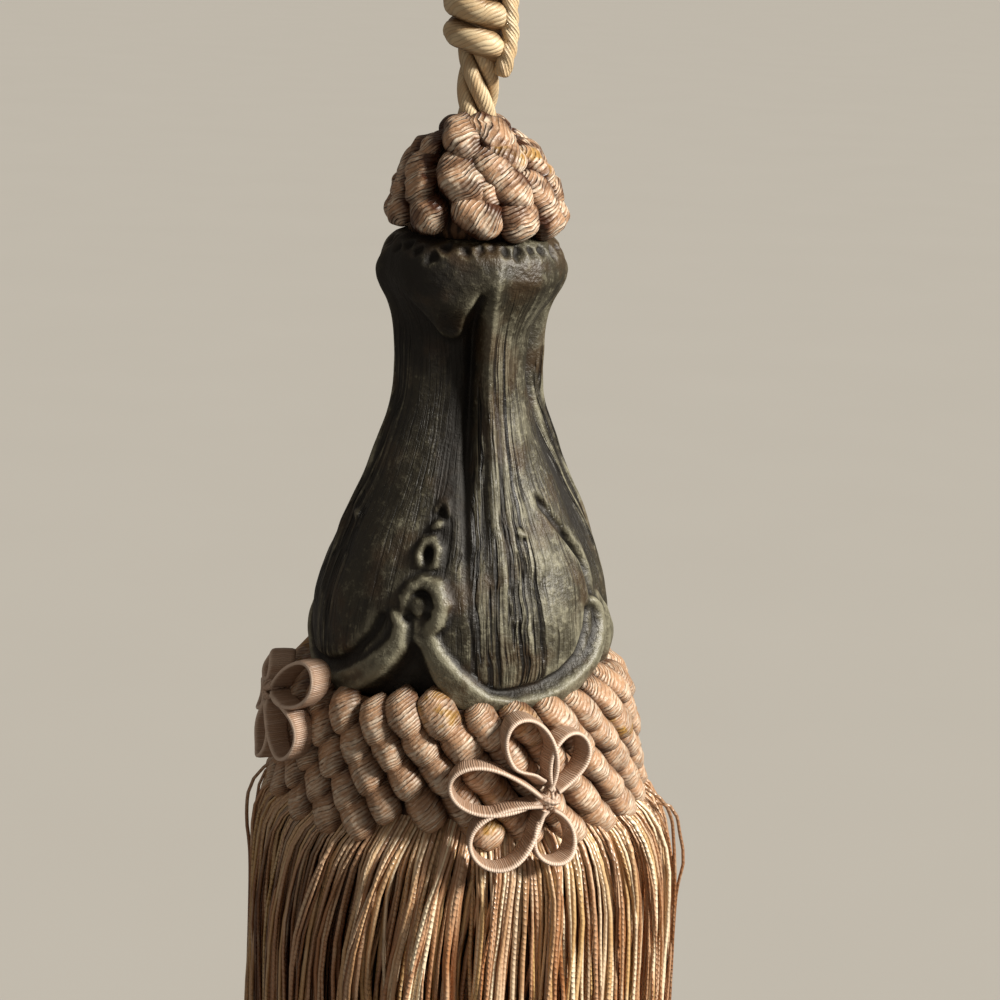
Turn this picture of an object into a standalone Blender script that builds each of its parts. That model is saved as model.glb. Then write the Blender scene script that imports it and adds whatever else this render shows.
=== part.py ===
"""Curtain tieback tassel: hanging loop, wound knot, laid neck cord, corded rosette,
moulded head with four leaf lobes, knotted ruff, four looped gimp rosettes and a fringe skirt.

Metres, +Z up.  The origin is the point where the loop's crown bears on its hook, and the
tassel hangs down the Z axis from it.  A turn is an angle round the axis, 0 at the front
(-Y) and growing towards +X.  A drop is a distance below the top of the moulded head.
"""

import math
import random
from collections import namedtuple

import bmesh
import bpy
from mathutils import Matrix, Vector

MM = 0.001
GAP = 0.3 * MM  # clearance between touching pieces
FULL_TURN = 2 * math.pi
QUARTER = FULL_TURN / 4

Station = namedtuple("Station", "drop radius")
Scroll = namedtuple("Scroll", "drop reach rise")
Petal = namedtuple("Petal", "direction length width")
Flower = namedtuple("Flower", "turn drop size")
LockRow = namedtuple("LockRow", "count inset depth shorter")

# Cords, from the hook downwards
CORD_DIAMETER = 5.2 * MM
LOOP_DROP = 60 * MM  # from the crown's underside to the top of the knot
LOOP_WIDTH = 27 * MM  # between the centrelines of the two legs
LEG_SPREAD = 6.4 * MM  # between the centrelines where the legs enter the knot
CORD_LAY = 17 * MM  # length of one turn of the cord's three plies
KNOT_TALL = 23.8 * MM
KNOT_DIAMETER = 15.6 * MM
KNOT_PITCH = 5.0 * MM  # height of one wound turn
NECK_DIAMETER = 8.8 * MM
NECK_SHOWS = 12.2 * MM
NECK_LAY = 25 * MM

# Corded rosette on top of the head
ROSETTE_TALL = 22.3 * MM
ROSETTE_ROWS = 11
ROSETTE_KNOTS = 3
ROSETTE_LEAN = math.radians(40)  # how far a row turns on its way down
ROSETTE_GROOVE = 3.4 * MM

# Moulded head
HEAD_TALL = 108.2 * MM
LIP_TURN, LIP_WIDTH = math.radians(-15), math.radians(33)
LIP_DROP, LIP_TONGUE, LIP_RISE = 14.2 * MM, 10.5 * MM, 2.6 * MM
FOLD_TURN, FOLD_STEEP, FOLD_DEPTH = math.radians(16), 0.17, 4.0 * MM
LOBE_TURN, LOBE_SWELL = math.radians(30), 2.4 * MM
RIM_TOP, RIM_FALL, RIM_REACH = 78.7 * MM, 18.3 * MM, math.radians(46)
RIM_WIDTH, RIM_RISE, RIM_GROOVE = 2.3 * MM, 1.7 * MM, 1.1 * MM
SCROLL_TURN = LOBE_TURN - QUARTER / 2
SCROLLS = (
    Scroll(drop=72.4 * MM, reach=4.6 * MM, rise=3.2 * MM),
    Scroll(drop=62.2 * MM, reach=3.6 * MM, rise=2.5 * MM),
    Scroll(drop=55.4 * MM, reach=2.7 * MM, rise=1.7 * MM),
)

# Knotted ruff
RUFF_TOP, RUFF_BOTTOM = 95.2 * MM, 121.5 * MM  # drops
RUFF_COLUMNS = 27
RUFF_ROWS = 11  # two rows to a knot, and neighbouring columns are half a knot apart
RUFF_LEAN = math.radians(29)
RUFF_GROOVE, RUFF_NOTCH = 2.5 * MM, 1.2 * MM

# Looped gimp rosettes
FLOWERS = (
    Flower(turn=math.radians(26), drop=116.2 * MM, size=1.0),
    Flower(turn=math.radians(125), drop=109.4 * MM, size=0.84),
    Flower(turn=math.radians(206), drop=113.0 * MM, size=1.0),
    Flower(turn=math.radians(-61), drop=109.4 * MM, size=0.88),
)
GIMP_THICK, GIMP_WIDE = 0.9 * MM, 3.6 * MM
HUB_REACH, HUB_HALF = 3.2 * MM, 0.6 * MM  # where a petal leaves the hub
PETALS = (
    Petal(direction=math.radians(106), length=19.5 * MM, width=10.5 * MM),
    Petal(direction=math.radians(58), length=15.0 * MM, width=8.5 * MM),
    Petal(direction=math.radians(163), length=20.5 * MM, width=11.0 * MM),
    Petal(direction=math.radians(223), length=17.0 * MM, width=11.0 * MM),
    Petal(direction=math.radians(277), length=13.5 * MM, width=9.5 * MM),
)

# Fringe skirt
BACKING_TOP, BACKING_BOTTOM = 109.0 * MM, 118.5 * MM  # drops
LOCK_ROWS = (
    LockRow(count=64, inset=0.0, depth=3.0 * MM, shorter=0.0),
    LockRow(count=52, inset=4.2 * MM, depth=3.4 * MM, shorter=2.0 * MM),
    LockRow(count=38, inset=9.0 * MM, depth=4.2 * MM, shorter=4.0 * MM),
)

# Profiles, as radii at drops
HEAD_PROFILE = [
    Station(drop * MM, radius * MM)
    for drop, radius in (
        (0.0, 15.0), (0.8, 17.2), (3.2, 19.2), (7.7, 20.0), (11.2, 19.0), (14.7, 17.4),
        (18.7, 16.4), (23.7, 15.9), (28.7, 15.8), (33.7, 16.3), (39.2, 17.7), (45.7, 19.9),
        (52.7, 22.7), (60.7, 26.0), (68.7, 29.0), (75.7, 31.2), (81.7, 32.3), (87.1, 32.6),
        (91.7, 31.9), (96.7, 30.4), (101.7, 27.6), (105.7, 24.0), (108.2, 19.0),
    )
]  # fmt: skip
ROSETTE_PROFILE = [
    Station(drop * MM, radius * MM)
    for drop, radius in (
        (-22.6, 5.1), (-24.8, 7.4), (-23.6, 9.8), (-19.4, 12.8), (-15.5, 15.2), (-11.4, 17.4),
        (-6.4, 19.0), (-2.2, 19.7), (-0.6, 18.6),
    )
]  # fmt: skip
RUFF_OUTSIDE = [
    Station(drop * MM, radius * MM)
    for drop, radius in (
        (95.2, 35.6), (98.5, 37.6), (104.0, 38.7), (110.0, 39.6), (116.0, 40.5), (119.5, 41.0),
        (121.5, 40.2),
    )
]  # fmt: skip
RUFF_INSIDE = [
    Station(drop * MM, radius * MM)
    for drop, radius in ((95.5, 33.2), (108.0, 34.2), (119.5, 37.0))
]
SKIRT_PROFILE = [
    Station(drop * MM, radius * MM)
    for drop, radius in (
        (114.0, 34.0), (122.3, 38.0), (127.5, 44.8), (142.0, 47.8), (275.7, 49.3),
    )
]  # fmt: skip
FLOWER_BED = [  # the backs of the gimp rosettes lie on this, over the ruff and the skirt's top
    Station(drop * MM, radius * MM)
    for drop, radius in (
        (91.0, 35.4), (95.2, 36.7), (98.5, 37.9), (104.0, 39.1), (110.0, 40.1), (116.0, 41.1),
        (120.0, 42.3), (124.0, 43.9), (128.0, 45.5), (133.0, 46.8),
    )
]  # fmt: skip

KNOT_TOP = -LOOP_DROP
KNOT_BOTTOM = KNOT_TOP - KNOT_TALL
NECK_BOTTOM = KNOT_BOTTOM - GAP - NECK_SHOWS
ROSETTE_TOP = NECK_BOTTOM - GAP
HEAD_TOP = ROSETTE_TOP - ROSETTE_TALL - GAP

Finish = namedtuple("Finish", "name colour roughness metallic")
CREAM_CORD = Finish("cream_cord", (0.66, 0.52, 0.33), 0.5, 0.0)
ROSE_CORD = Finish("rose_cord", (0.60, 0.42, 0.31), 0.45, 0.0)
GIMP = Finish("rose_gimp", (0.55, 0.38, 0.30), 0.6, 0.0)
BRONZE_RESIN = Finish("bronze_resin", (0.085, 0.08, 0.06), 0.55, 0.15)
FRINGE = Finish("gold_fringe", (0.55, 0.37, 0.21), 0.4, 0.0)


def clear_scene():
    """Removes every object of the startup scene."""
    for obj in list(bpy.data.objects):
        bpy.data.objects.remove(obj)


def collection(name, hidden=False):
    """A new collection in the scene; a hidden one holds cutters and guides."""
    made = bpy.data.collections.new(name)
    bpy.context.scene.collection.children.link(made)
    made.hide_render = hidden
    return made


def finish_material(finish):
    """The Principled material of a finish, made once."""
    material = bpy.data.materials.get(finish.name)
    if material is None:
        material = bpy.data.materials.new(finish.name)
        material.use_nodes = True
        shader = material.node_tree.nodes["Principled BSDF"]
        shader.inputs["Base Color"].default_value = (*finish.colour, 1)
        shader.inputs["Roughness"].default_value = finish.roughness
        shader.inputs["Metallic"].default_value = finish.metallic
        material.diffuse_color = (*finish.colour, 1)
    return material


def mesh_object(name, bm, home, finish):
    """A smooth-shaded object from a closed bmesh, with its normals facing out."""
    bmesh.ops.recalc_face_normals(bm, faces=bm.faces)
    if bm.calc_volume(signed=True) < 0:
        bmesh.ops.reverse_faces(bm, faces=bm.faces)
    mesh = bpy.data.meshes.new(name)
    bm.to_mesh(mesh)
    bm.free()
    mesh.shade_smooth()
    mesh.materials.append(finish_material(finish))
    obj = bpy.data.objects.new(name, mesh)
    home.objects.link(obj)
    return obj


def ease(value):
    """A smooth step from 0 to 1."""
    value = min(1.0, max(0.0, value))
    return value * value * (3 - 2 * value)


def bell(value):
    """A smooth bump of height 1 that ends at -1 and 1."""
    return (1 - value * value) ** 2 if abs(value) < 1 else 0.0


def radius_at(profile, drop):
    """The profile's radius at a drop, on a smooth curve through its stations."""
    last = len(profile) - 1
    k = next((i for i in range(last) if drop < profile[i + 1].drop), last - 1)
    before, low, high, after = (profile[min(last, max(0, k + i))] for i in (-1, 0, 1, 2))
    span = high.drop - low.drop
    t = min(1.0, max(0.0, (drop - low.drop) / span))
    slope_low = (high.radius - before.radius) / max(1e-9, high.drop - before.drop) * span
    slope_high = (after.radius - low.radius) / max(1e-9, after.drop - low.drop) * span
    return (
        low.radius * (1 + 2 * t) * (1 - t) ** 2
        + slope_low * t * (1 - t) ** 2
        + high.radius * t * t * (3 - 2 * t)
        + slope_high * t * t * (t - 1)
    )


def resampled(profile, rows):
    """Stations along the profile at even drops, both ends kept."""
    first, last = profile[0].drop, profile[-1].drop
    drops = [first + (last - first) * i / rows for i in range(rows + 1)]
    return [Station(drop, radius_at(profile, drop)) for drop in drops]


def place(turn, radius, drop):
    """The point at a turn, radius and drop below the head's top."""
    return Vector((radius * math.sin(turn), -radius * math.cos(turn), HEAD_TOP - drop))


def turned(stations, steps, closed=False):
    """A bmesh of the stations spun round the axis; closed joins the last station to the first."""
    bm = bmesh.new()
    line = [bm.verts.new(place(0, s.radius, s.drop)) for s in stations]
    pairs = list(zip(line, line[1:]))
    if closed:
        pairs.append((line[-1], line[0]))
    edges = [bm.edges.new(pair) for pair in pairs]
    bmesh.ops.spin(
        bm,
        geom=line + edges,
        cent=(0, 0, 0),
        axis=(0, 0, 1),
        angle=FULL_TURN,
        steps=steps,
        use_merge=True,
    )
    if not closed:
        bmesh.ops.holes_fill(bm, edges=[e for e in bm.edges if e.is_boundary])
    return bm


def turn_and_drop(vert):
    """A vertex's turn round the axis and its drop below the head's top."""
    return math.atan2(vert.co.x, -vert.co.y), HEAD_TOP - vert.co.z


def off_centre(turn, centre, share):
    """The turn from the nearest of the repeats of centre, which are share apart."""
    return (turn - centre + share / 2) % share - share / 2


# ---------------------------------------------------------------- cords


def loop_route(count=52):
    """The loop's centreline: up one leg, round the crown and down the other."""
    crown = LOOP_WIDTH / 2
    rise = CORD_DIAMETER / 2
    foot = KNOT_TOP + GAP
    guides = [
        Vector((-LEG_SPREAD / 2, 0, foot)),
        Vector((-LEG_SPREAD / 2 - 0.4 * MM, 0, foot + 5 * MM)),
        Vector((-crown * 0.62, 0, foot + 20 * MM)),
        Vector((-crown, 0, -crown * 1.15)),
        Vector((-crown * 0.78, 0, rise - crown * 0.38)),
        Vector((0, 0, rise)),
    ]
    guides += [Vector((-p.x, 0, p.z)) for p in reversed(guides[:-1])]
    return smooth_line(guides, count)


def smooth_line(guides, count):
    """Evenly spaced points on a smooth curve through the guides."""
    ends = [2 * guides[0] - guides[1], *guides, 2 * guides[-1] - guides[-2]]
    fine = []
    for a, b, c, d in zip(ends, ends[1:], ends[2:], ends[3:]):
        for t in (i / 16 for i in range(16)):
            fine.append(
                0.5 * (2 * b + (c - a) * t + (2 * a - 5 * b + 4 * c - d) * t * t
                       + (3 * b - 3 * c + d - a) * t ** 3)
            )  # fmt: skip
    fine.append(guides[-1])
    along = [0.0]
    for a, b in zip(fine, fine[1:]):
        along.append(along[-1] + (b - a).length)
    points, k = [], 0
    for i in range(count):
        want = along[-1] * i / (count - 1)
        while k < len(along) - 2 and along[k + 1] < want:
            k += 1
        share = (want - along[k]) / (along[k + 1] - along[k])
        points.append(fine[k].lerp(fine[k + 1], min(1.0, share)))
    return points


def ply_outline(name, plies, radius, guides):
    """A closed outline of the cord's section: a crest for each ply and a groove between."""
    data = bpy.data.curves.new(name, "CURVE")
    data.dimensions = "2D"
    spline = data.splines.new("POLY")
    spline.points.add(2 * plies - 1)
    for i, point in enumerate(spline.points):
        reach = radius * (1.0 if i % 2 == 0 else 0.76)
        angle = -FULL_TURN * i / (2 * plies)
        point.co = (reach * math.cos(angle), reach * math.sin(angle), 0, 1)
    spline.use_cyclic_u = True
    outline = bpy.data.objects.new(name, data)
    outline.hide_render = True
    guides.objects.link(outline)
    return outline


def laid_cord(name, route, plies, diameter, lay, home, guides, finish):
    """A rope along the route whose plies turn once in each lay."""
    data = bpy.data.curves.new(name, "CURVE")
    data.dimensions = "3D"
    data.bevel_mode = "OBJECT"
    data.bevel_object = ply_outline(name + "_outline", plies, diameter / 2, guides)
    data.use_fill_caps = True
    spline = data.splines.new("POLY")
    spline.points.add(len(route) - 1)
    length = 0.0
    for i, (point, place_) in enumerate(zip(spline.points, route)):
        length += (place_ - route[max(0, i - 1)]).length
        point.co = (*place_, 1)
        point.tilt = -FULL_TURN * length / lay
    cord = bpy.data.objects.new(name, data)
    home.objects.link(cord)
    data.materials.append(finish_material(finish))
    return cord


def neck_route(count=12):
    """The neck cord's straight centreline, between the knot and the rosette."""
    top, bottom = KNOT_BOTTOM - GAP, NECK_BOTTOM
    return [Vector((0, 0, top + (bottom - top) * i / (count - 1))) for i in range(count)]


def knot(home):
    """The wound knot: one cord laid round the others in a rising helix."""
    turns = KNOT_TALL / KNOT_PITCH
    rows, steps = round(turns * 4), 16
    stations = [
        Station(HEAD_TOP - KNOT_TOP + KNOT_TALL * i / rows, KNOT_DIAMETER / 2)
        for i in range(rows + 1)
    ]
    bm = turned(stations, steps)
    for vert in bm.verts:
        turn, drop = turn_and_drop(vert)
        down = drop - stations[0].drop
        phase = down / KNOT_PITCH + turn / FULL_TURN
        groove = CORD_DIAMETER / 2 * (1 - math.sqrt(abs(math.sin(math.pi * phase))))
        end = min(down, KNOT_TALL - down) / (KNOT_PITCH * 0.6)
        tuck = 2.2 * MM * (1 - ease(end))
        reach = KNOT_DIAMETER / 2 - 0.75 * groove - tuck
        vert.co.x, vert.co.y = reach * math.sin(turn), -reach * math.cos(turn)
    return mesh_object("knot", bm, home, CREAM_CORD)


# ---------------------------------------------------------------- rosette


def rosette(home):
    """The corded rosette: leaning rows of fat wrapped cord, three knots to a row."""
    steps_per_row, rows = 4, 3 * ROSETTE_KNOTS
    crown = ROSETTE_PROFILE[:2]
    dome = resampled(ROSETTE_PROFILE[1:], rows)
    bm = turned(crown[:1] + dome, ROSETTE_ROWS * steps_per_row)
    top, bottom = dome[0].drop, dome[-1].drop
    for vert in bm.verts:
        turn, drop = turn_and_drop(vert)
        reach = math.hypot(vert.co.x, vert.co.y)
        if reach < crown[1].radius * 0.9:
            continue
        down = (drop - top) / (bottom - top)
        row = turn / FULL_TURN * ROSETTE_ROWS
        valley = 1 - math.sqrt(abs(math.cos(math.pi * row)))
        knot_share = abs(math.sin(math.pi * (down * ROSETTE_KNOTS)))
        notch = 0.45 * (1 - math.sqrt(knot_share)) * (0 < down < 0.99)
        depth = ROSETTE_GROOVE * min(1.0, max(valley, notch)) * (0.35 + 0.65 * down)
        turn += ROSETTE_LEAN * down
        reach -= depth
        vert.co.x, vert.co.y = reach * math.sin(turn), -reach * math.cos(turn)
    return mesh_object("rosette", bm, home, ROSE_CORD)


# ---------------------------------------------------------------- head


def lip_relief(turn, drop):
    """The collar's lower lip, which hangs down in four tongues over the neck."""
    tongue = bell(off_centre(turn, LIP_TURN, QUARTER) / LIP_WIDTH)
    lip = LIP_DROP + LIP_TONGUE * tongue
    over = ease((lip - drop) / (2.5 * MM)) * ease((drop - 9 * MM) / (5 * MM))
    return LIP_RISE * over * (0.35 + 0.65 * tongue)


def fold_relief(turn, drop):
    """Four folds down the neck: a sharp crest with a furrow close on its left side."""
    share = ((FOLD_TURN - turn) / QUARTER) % 1.0
    if share < FOLD_STEEP:
        height = 1 - ease(share / FOLD_STEEP)
    else:
        height = ((share - FOLD_STEEP) / (1 - FOLD_STEEP)) ** 1.2
    strength = ease((drop - 12 * MM) / (9 * MM)) * (1 - ease((drop - 42 * MM) / (34 * MM)))
    return FOLD_DEPTH * (height - 0.72) * strength


def lobe_relief(turn, drop):
    """Four leaf lobes that swell between the scrolls."""
    swell = math.cos(2 * off_centre(turn, LOBE_TURN, QUARTER))
    strength = ease((drop - 50 * MM) / (18 * MM)) * (1 - ease((drop - 94 * MM) / (12 * MM)))
    return LOBE_SWELL * (max(0.0, swell) ** 0.7 - 0.62) * strength


def rim_relief(turn, drop):
    """The raised rim round the foot of each lobe, with a groove inside it."""
    across = off_centre(turn, LOBE_TURN, QUARTER) / RIM_REACH
    down = max(0.0, (drop - RIM_TOP) / RIM_FALL)
    spread = math.hypot(across, down)
    if spread < 0.3 or drop < RIM_TOP - 4 * MM:
        return 0.0
    slope = math.hypot(across / (RIM_REACH * 31 * MM), down / RIM_FALL) / spread
    away = (spread - 1) / max(slope, 1.0)
    rim = RIM_RISE * bell(away / (1.35 * RIM_WIDTH))
    groove = RIM_GROOVE * bell((away + 1.5 * RIM_WIDTH) / RIM_WIDTH)
    below = 0.9 * MM * ease((away - RIM_WIDTH * 0.5) / (2 * MM))
    return rim - groove - below * ease((drop - RIM_TOP) / (3 * MM))


def scroll_relief(turn, drop, radius):
    """A chain of three scrolls where two lobes meet."""
    aside = off_centre(turn, SCROLL_TURN, QUARTER) * radius
    rise = 0.0
    for scroll in SCROLLS:
        away = math.hypot(aside, drop - scroll.drop) / scroll.reach
        rise = max(rise, scroll.rise * bell(away * 0.85))
    return rise


def head(home):
    """The moulded head: a vase-shaped turning carved with collar, folds, lobes and scrolls."""
    around, rows = 60, 35
    bm = turned(resampled(HEAD_PROFILE, rows), around)
    for vert in bm.verts:
        turn, drop = turn_and_drop(vert)
        radius = math.hypot(vert.co.x, vert.co.y)
        reach = (
            radius
            + lip_relief(turn, drop)
            + fold_relief(turn, drop)
            + lobe_relief(turn, drop)
            + rim_relief(turn, drop)
            + scroll_relief(turn, drop, radius)
        )
        vert.co.x, vert.co.y = reach * math.sin(turn), -reach * math.cos(turn)
    return mesh_object("head", bm, home, BRONZE_RESIN)


# ---------------------------------------------------------------- ruff


def ruff(home):
    """The knotted ruff: leaning columns of knots round a flared band."""
    outside = resampled(RUFF_OUTSIDE, RUFF_ROWS)
    bm = turned(outside + RUFF_INSIDE[::-1], 3 * RUFF_COLUMNS, closed=True)
    row_height = (RUFF_BOTTOM - RUFF_TOP) / RUFF_ROWS
    for vert in bm.verts:
        turn, drop = turn_and_drop(vert)
        reach = math.hypot(vert.co.x, vert.co.y)
        outside = reach > radius_at(RUFF_OUTSIDE, drop) - 0.5 * MM
        column, aside = divmod(round(turn / FULL_TURN * 3 * RUFF_COLUMNS) + 1, 3)
        row = round((drop - RUFF_TOP) / row_height)
        if outside and aside != 1:
            reach -= RUFF_GROOVE * (0.4 if row in (0, RUFF_ROWS) else 1.0)
        elif outside and (row + column) % 2:
            reach -= RUFF_NOTCH
        turn += RUFF_LEAN * (drop - RUFF_TOP) / (RUFF_BOTTOM - RUFF_TOP)
        vert.co.x, vert.co.y = reach * math.sin(turn), -reach * math.cos(turn)
    return mesh_object("ruff", bm, home, ROSE_CORD)


# ---------------------------------------------------------------- gimp rosettes


def on_bed(flower, point):
    """Lays a flower's flat point (across, up, out) on its bed."""
    drop = flower.drop - point.y
    radius = radius_at(FLOWER_BED, drop) + GAP
    return place(flower.turn + point.x / radius, radius + point.z, drop)


def petal_line(petal, size, steps=11):
    """A petal's flat centreline, out from the hub and back, as points and outward normals."""
    heading = Vector((math.cos(petal.direction), math.sin(petal.direction), 0))
    side = Vector((-heading.y, heading.x, 0))
    points = []
    for i in range(steps + 1):
        t = math.pi * (2 * i / steps - 1)
        share = (1 + math.cos(t)) / 2
        along = HUB_REACH + (petal.length * size - HUB_REACH) * share
        across = petal.width * size * 0.58 * math.sin(t) * share ** 0.7
        across += math.copysign(HUB_HALF, t) * (1 - share)
        points.append(heading * along + side * across)
    normals = []
    for i in range(steps + 1):
        ahead = points[min(steps, i + 1)] - points[max(0, i - 1)]
        normals.append(Vector((ahead.y, -ahead.x, 0)).normalized())
    return list(zip(points, normals))


def gimp_flower(name, flower, home):
    """A rosette of five gimp loops stood on edge, pinched together at a stitched hub."""
    bm = bmesh.new()
    hub = []
    for petal in sorted(PETALS, key=lambda each: each.direction):
        line = petal_line(petal, flower.size)
        outer = [bm.verts.new(point + normal * GIMP_THICK / 2) for point, normal in line]
        inner = [bm.verts.new(point - normal * GIMP_THICK / 2) for point, normal in line]
        for i in range(len(line) - 1):
            bm.faces.new((inner[i], outer[i], outer[i + 1], inner[i + 1]))
        hub += [outer[0], inner[0], inner[-1], outer[-1]]
    bm.faces.new(hub)
    bmesh.ops.recalc_face_normals(bm, faces=bm.faces)
    back = bmesh.ops.extrude_face_region(bm, geom=bm.faces[:])["geom"]
    lifted = [v for v in back if isinstance(v, bmesh.types.BMVert)]
    bmesh.ops.translate(bm, vec=(0, 0, GIMP_WIDE), verts=lifted)
    bmesh.ops.triangulate(bm, faces=bm.faces)
    for vert in bm.verts:
        vert.co = on_bed(flower, vert.co)
    return mesh_object(name, bm, home, GIMP)


# ---------------------------------------------------------------- skirt


def add_lock(bm, turn, row, pitch, rng):
    """Adds one hanging lock of fringe: a three-sided strand, flat side outwards."""
    hem = SKIRT_PROFILE[-1].drop - row.shorter - rng.uniform(0, 3.5 * MM)
    sway = rng.uniform(-0.25, 0.25) * pitch
    puff = rng.uniform(-0.6, 0.3) * MM
    leave = SKIRT_PROFILE[1].drop
    below = None
    for station in reversed(SKIRT_PROFILE):
        drop = min(station.drop, hem)
        hang = max(0.0, (drop - leave) / (hem - leave))
        outer = station.radius - row.inset + puff * ease(hang * 8)
        middle = turn + sway * hang
        half = 0.43 * pitch
        ring = [
            bm.verts.new(place(middle - half, outer, drop)),
            bm.verts.new(place(middle + half, outer, drop)),
            bm.verts.new(place(middle, outer - row.depth, drop)),
        ]
        if below is None:
            bm.faces.new(ring)
        else:
            for i in range(3):
                j = (i + 1) % 3
                bm.faces.new((below[i], below[j], ring[j], ring[i]))
        below = ring
    bm.faces.new(below[::-1])


def skirt(home, cutters):
    """The fringe skirt: three rows of locks whose roots are fused into a round backing."""
    top, bottom = BACKING_TOP, BACKING_BOTTOM
    rim = [Station(top, 33.0 * MM), Station(bottom, 36.2 * MM)]
    backing = mesh_object("skirt", turned(rim, 40), home, FRINGE)
    rng = random.Random(7)
    bm = bmesh.new()
    for row in LOCK_ROWS:
        pitch = FULL_TURN / row.count
        for i in range(row.count):
            add_lock(bm, i * pitch, row, pitch, rng)
    locks = mesh_object("skirt_locks", bm, cutters, FRINGE)
    locks.hide_render = True
    locks.display_type = "WIRE"
    union = backing.modifiers.new("locks", "BOOLEAN")
    union.operation = "UNION"
    union.object = locks
    return backing


def main():
    """Builds the tassel from the hook down."""
    clear_scene()
    home = collection("curtain_tieback_tassel")
    cutters = collection("cutters_and_guides", hidden=True)
    laid_cord(
        "hanging_loop", loop_route(), 3, CORD_DIAMETER, CORD_LAY, home, cutters, CREAM_CORD
    )
    knot(home)
    laid_cord(
        "neck_cord", neck_route(), 4, NECK_DIAMETER, NECK_LAY, home, cutters, CREAM_CORD
    )
    rosette(home)
    head(home)
    ruff(home)
    for number, flower in enumerate(FLOWERS, start=1):
        gimp_flower(f"gimp_rosette_{number}", flower, home)
    skirt(home, cutters)


main()
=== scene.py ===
"""Looks of the curtain tieback tassel: its cords, wound knot, corded rosette, moulded head,
knotted ruff, gimp flowers and fringe skirt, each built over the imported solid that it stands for.

Metres, +Z up.  A turn is an angle round the tassel's axis, 0 at the front (-Y) and growing
towards +X.  A drop is a distance below the top of the moulded head.
"""

import enum
import logging
import math
import random
from collections.abc import Callable, Sequence
from dataclasses import dataclass

import bmesh
import bpy
import numpy as np
from mathutils import Matrix, Vector, noise


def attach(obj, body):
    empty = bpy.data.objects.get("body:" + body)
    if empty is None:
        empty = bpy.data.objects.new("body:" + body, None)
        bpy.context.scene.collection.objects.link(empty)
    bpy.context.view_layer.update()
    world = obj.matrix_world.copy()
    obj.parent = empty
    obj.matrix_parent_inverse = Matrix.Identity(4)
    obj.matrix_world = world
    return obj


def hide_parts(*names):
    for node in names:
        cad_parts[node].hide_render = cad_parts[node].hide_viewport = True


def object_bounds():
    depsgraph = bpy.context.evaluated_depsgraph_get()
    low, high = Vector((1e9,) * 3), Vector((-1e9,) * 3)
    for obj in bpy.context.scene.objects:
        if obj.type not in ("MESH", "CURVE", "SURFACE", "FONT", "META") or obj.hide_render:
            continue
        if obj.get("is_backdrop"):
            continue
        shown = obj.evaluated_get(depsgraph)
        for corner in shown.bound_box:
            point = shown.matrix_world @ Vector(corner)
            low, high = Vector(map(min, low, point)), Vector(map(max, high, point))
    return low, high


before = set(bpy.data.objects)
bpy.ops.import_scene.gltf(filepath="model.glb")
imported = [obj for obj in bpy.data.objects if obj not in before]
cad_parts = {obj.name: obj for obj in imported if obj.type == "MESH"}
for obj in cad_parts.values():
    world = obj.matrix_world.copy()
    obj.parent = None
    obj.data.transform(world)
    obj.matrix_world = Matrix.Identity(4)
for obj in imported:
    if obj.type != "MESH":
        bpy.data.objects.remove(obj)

LOG = logging.getLogger("tassel")
CAD_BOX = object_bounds()

MM = 0.001
FULL_TURN = 2 * math.pi
ROOT = "root"
LUMP_SEED = 5  # of the lumps' uneven winding

# Heights of the pieces, as in the part's source
KNOT_TOP, KNOT_BOTTOM = -60.0 * MM, -83.8 * MM
ROSETTE_TOP = -96.6 * MM
HEAD_TOP = -119.2 * MM

Colour = tuple[float, float, float]
Grid = np.ndarray
Number = Grid | float
Placer = Callable[[float, float], Vector]
Clump = Callable[[float, float], tuple[float, float]]
Material = bpy.types.Material
Socket = bpy.types.NodeSocket
Tint = Socket | Colour


def ring_point(turn: float, radius: float, level: float) -> Vector:
    """The point at a turn and radius, at a height above the origin."""
    return Vector((radius * math.sin(turn), -radius * math.cos(turn), level))


def place(turn: float, radius: float, drop: float) -> Vector:
    """The point at a turn, radius and drop below the head's top."""
    return ring_point(turn, radius, HEAD_TOP - drop)


def near(turn: Number, middle: float, pitch: float) -> Number:
    """Degrees from the nearest of the middles that lie a pitch apart round the tassel."""
    return (turn - middle + pitch / 2) % pitch - pitch / 2


def unit(value: float) -> float:
    """A number held between 0 and 1."""
    return min(1.0, max(0.0, value))


def ease(value: Number) -> Number:
    """A smooth step from 0 to 1."""
    held = np.clip(value, 0.0, 1.0)
    return held * held * (3 - 2 * held)


def between(value: Number, start: float, rise: float, end: float, fall: float) -> Number:
    """0 before the start, 1 from a rise later until the end, and 0 again a fall later."""
    return ease((value - start) / rise) * (1 - ease((value - end) / fall))


def bell(value: Number) -> Grid:
    """A smooth bump of height 1 that ends at -1 and 1."""
    return np.where(np.abs(value) < 1, (1 - np.minimum(1, value * value)) ** 2, 0.0)


def fuller(value: float, power: float) -> float:
    """A sine or cosine drawn towards -1 and 1 by a power below 1."""
    return math.copysign(abs(value) ** power, value)


def show(name: str, data: bpy.types.ID) -> bpy.types.Object:
    """Links a new object into the scene, at the origin."""
    made = bpy.data.objects.new(name, data)
    bpy.context.scene.collection.objects.link(made)
    return made


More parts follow.
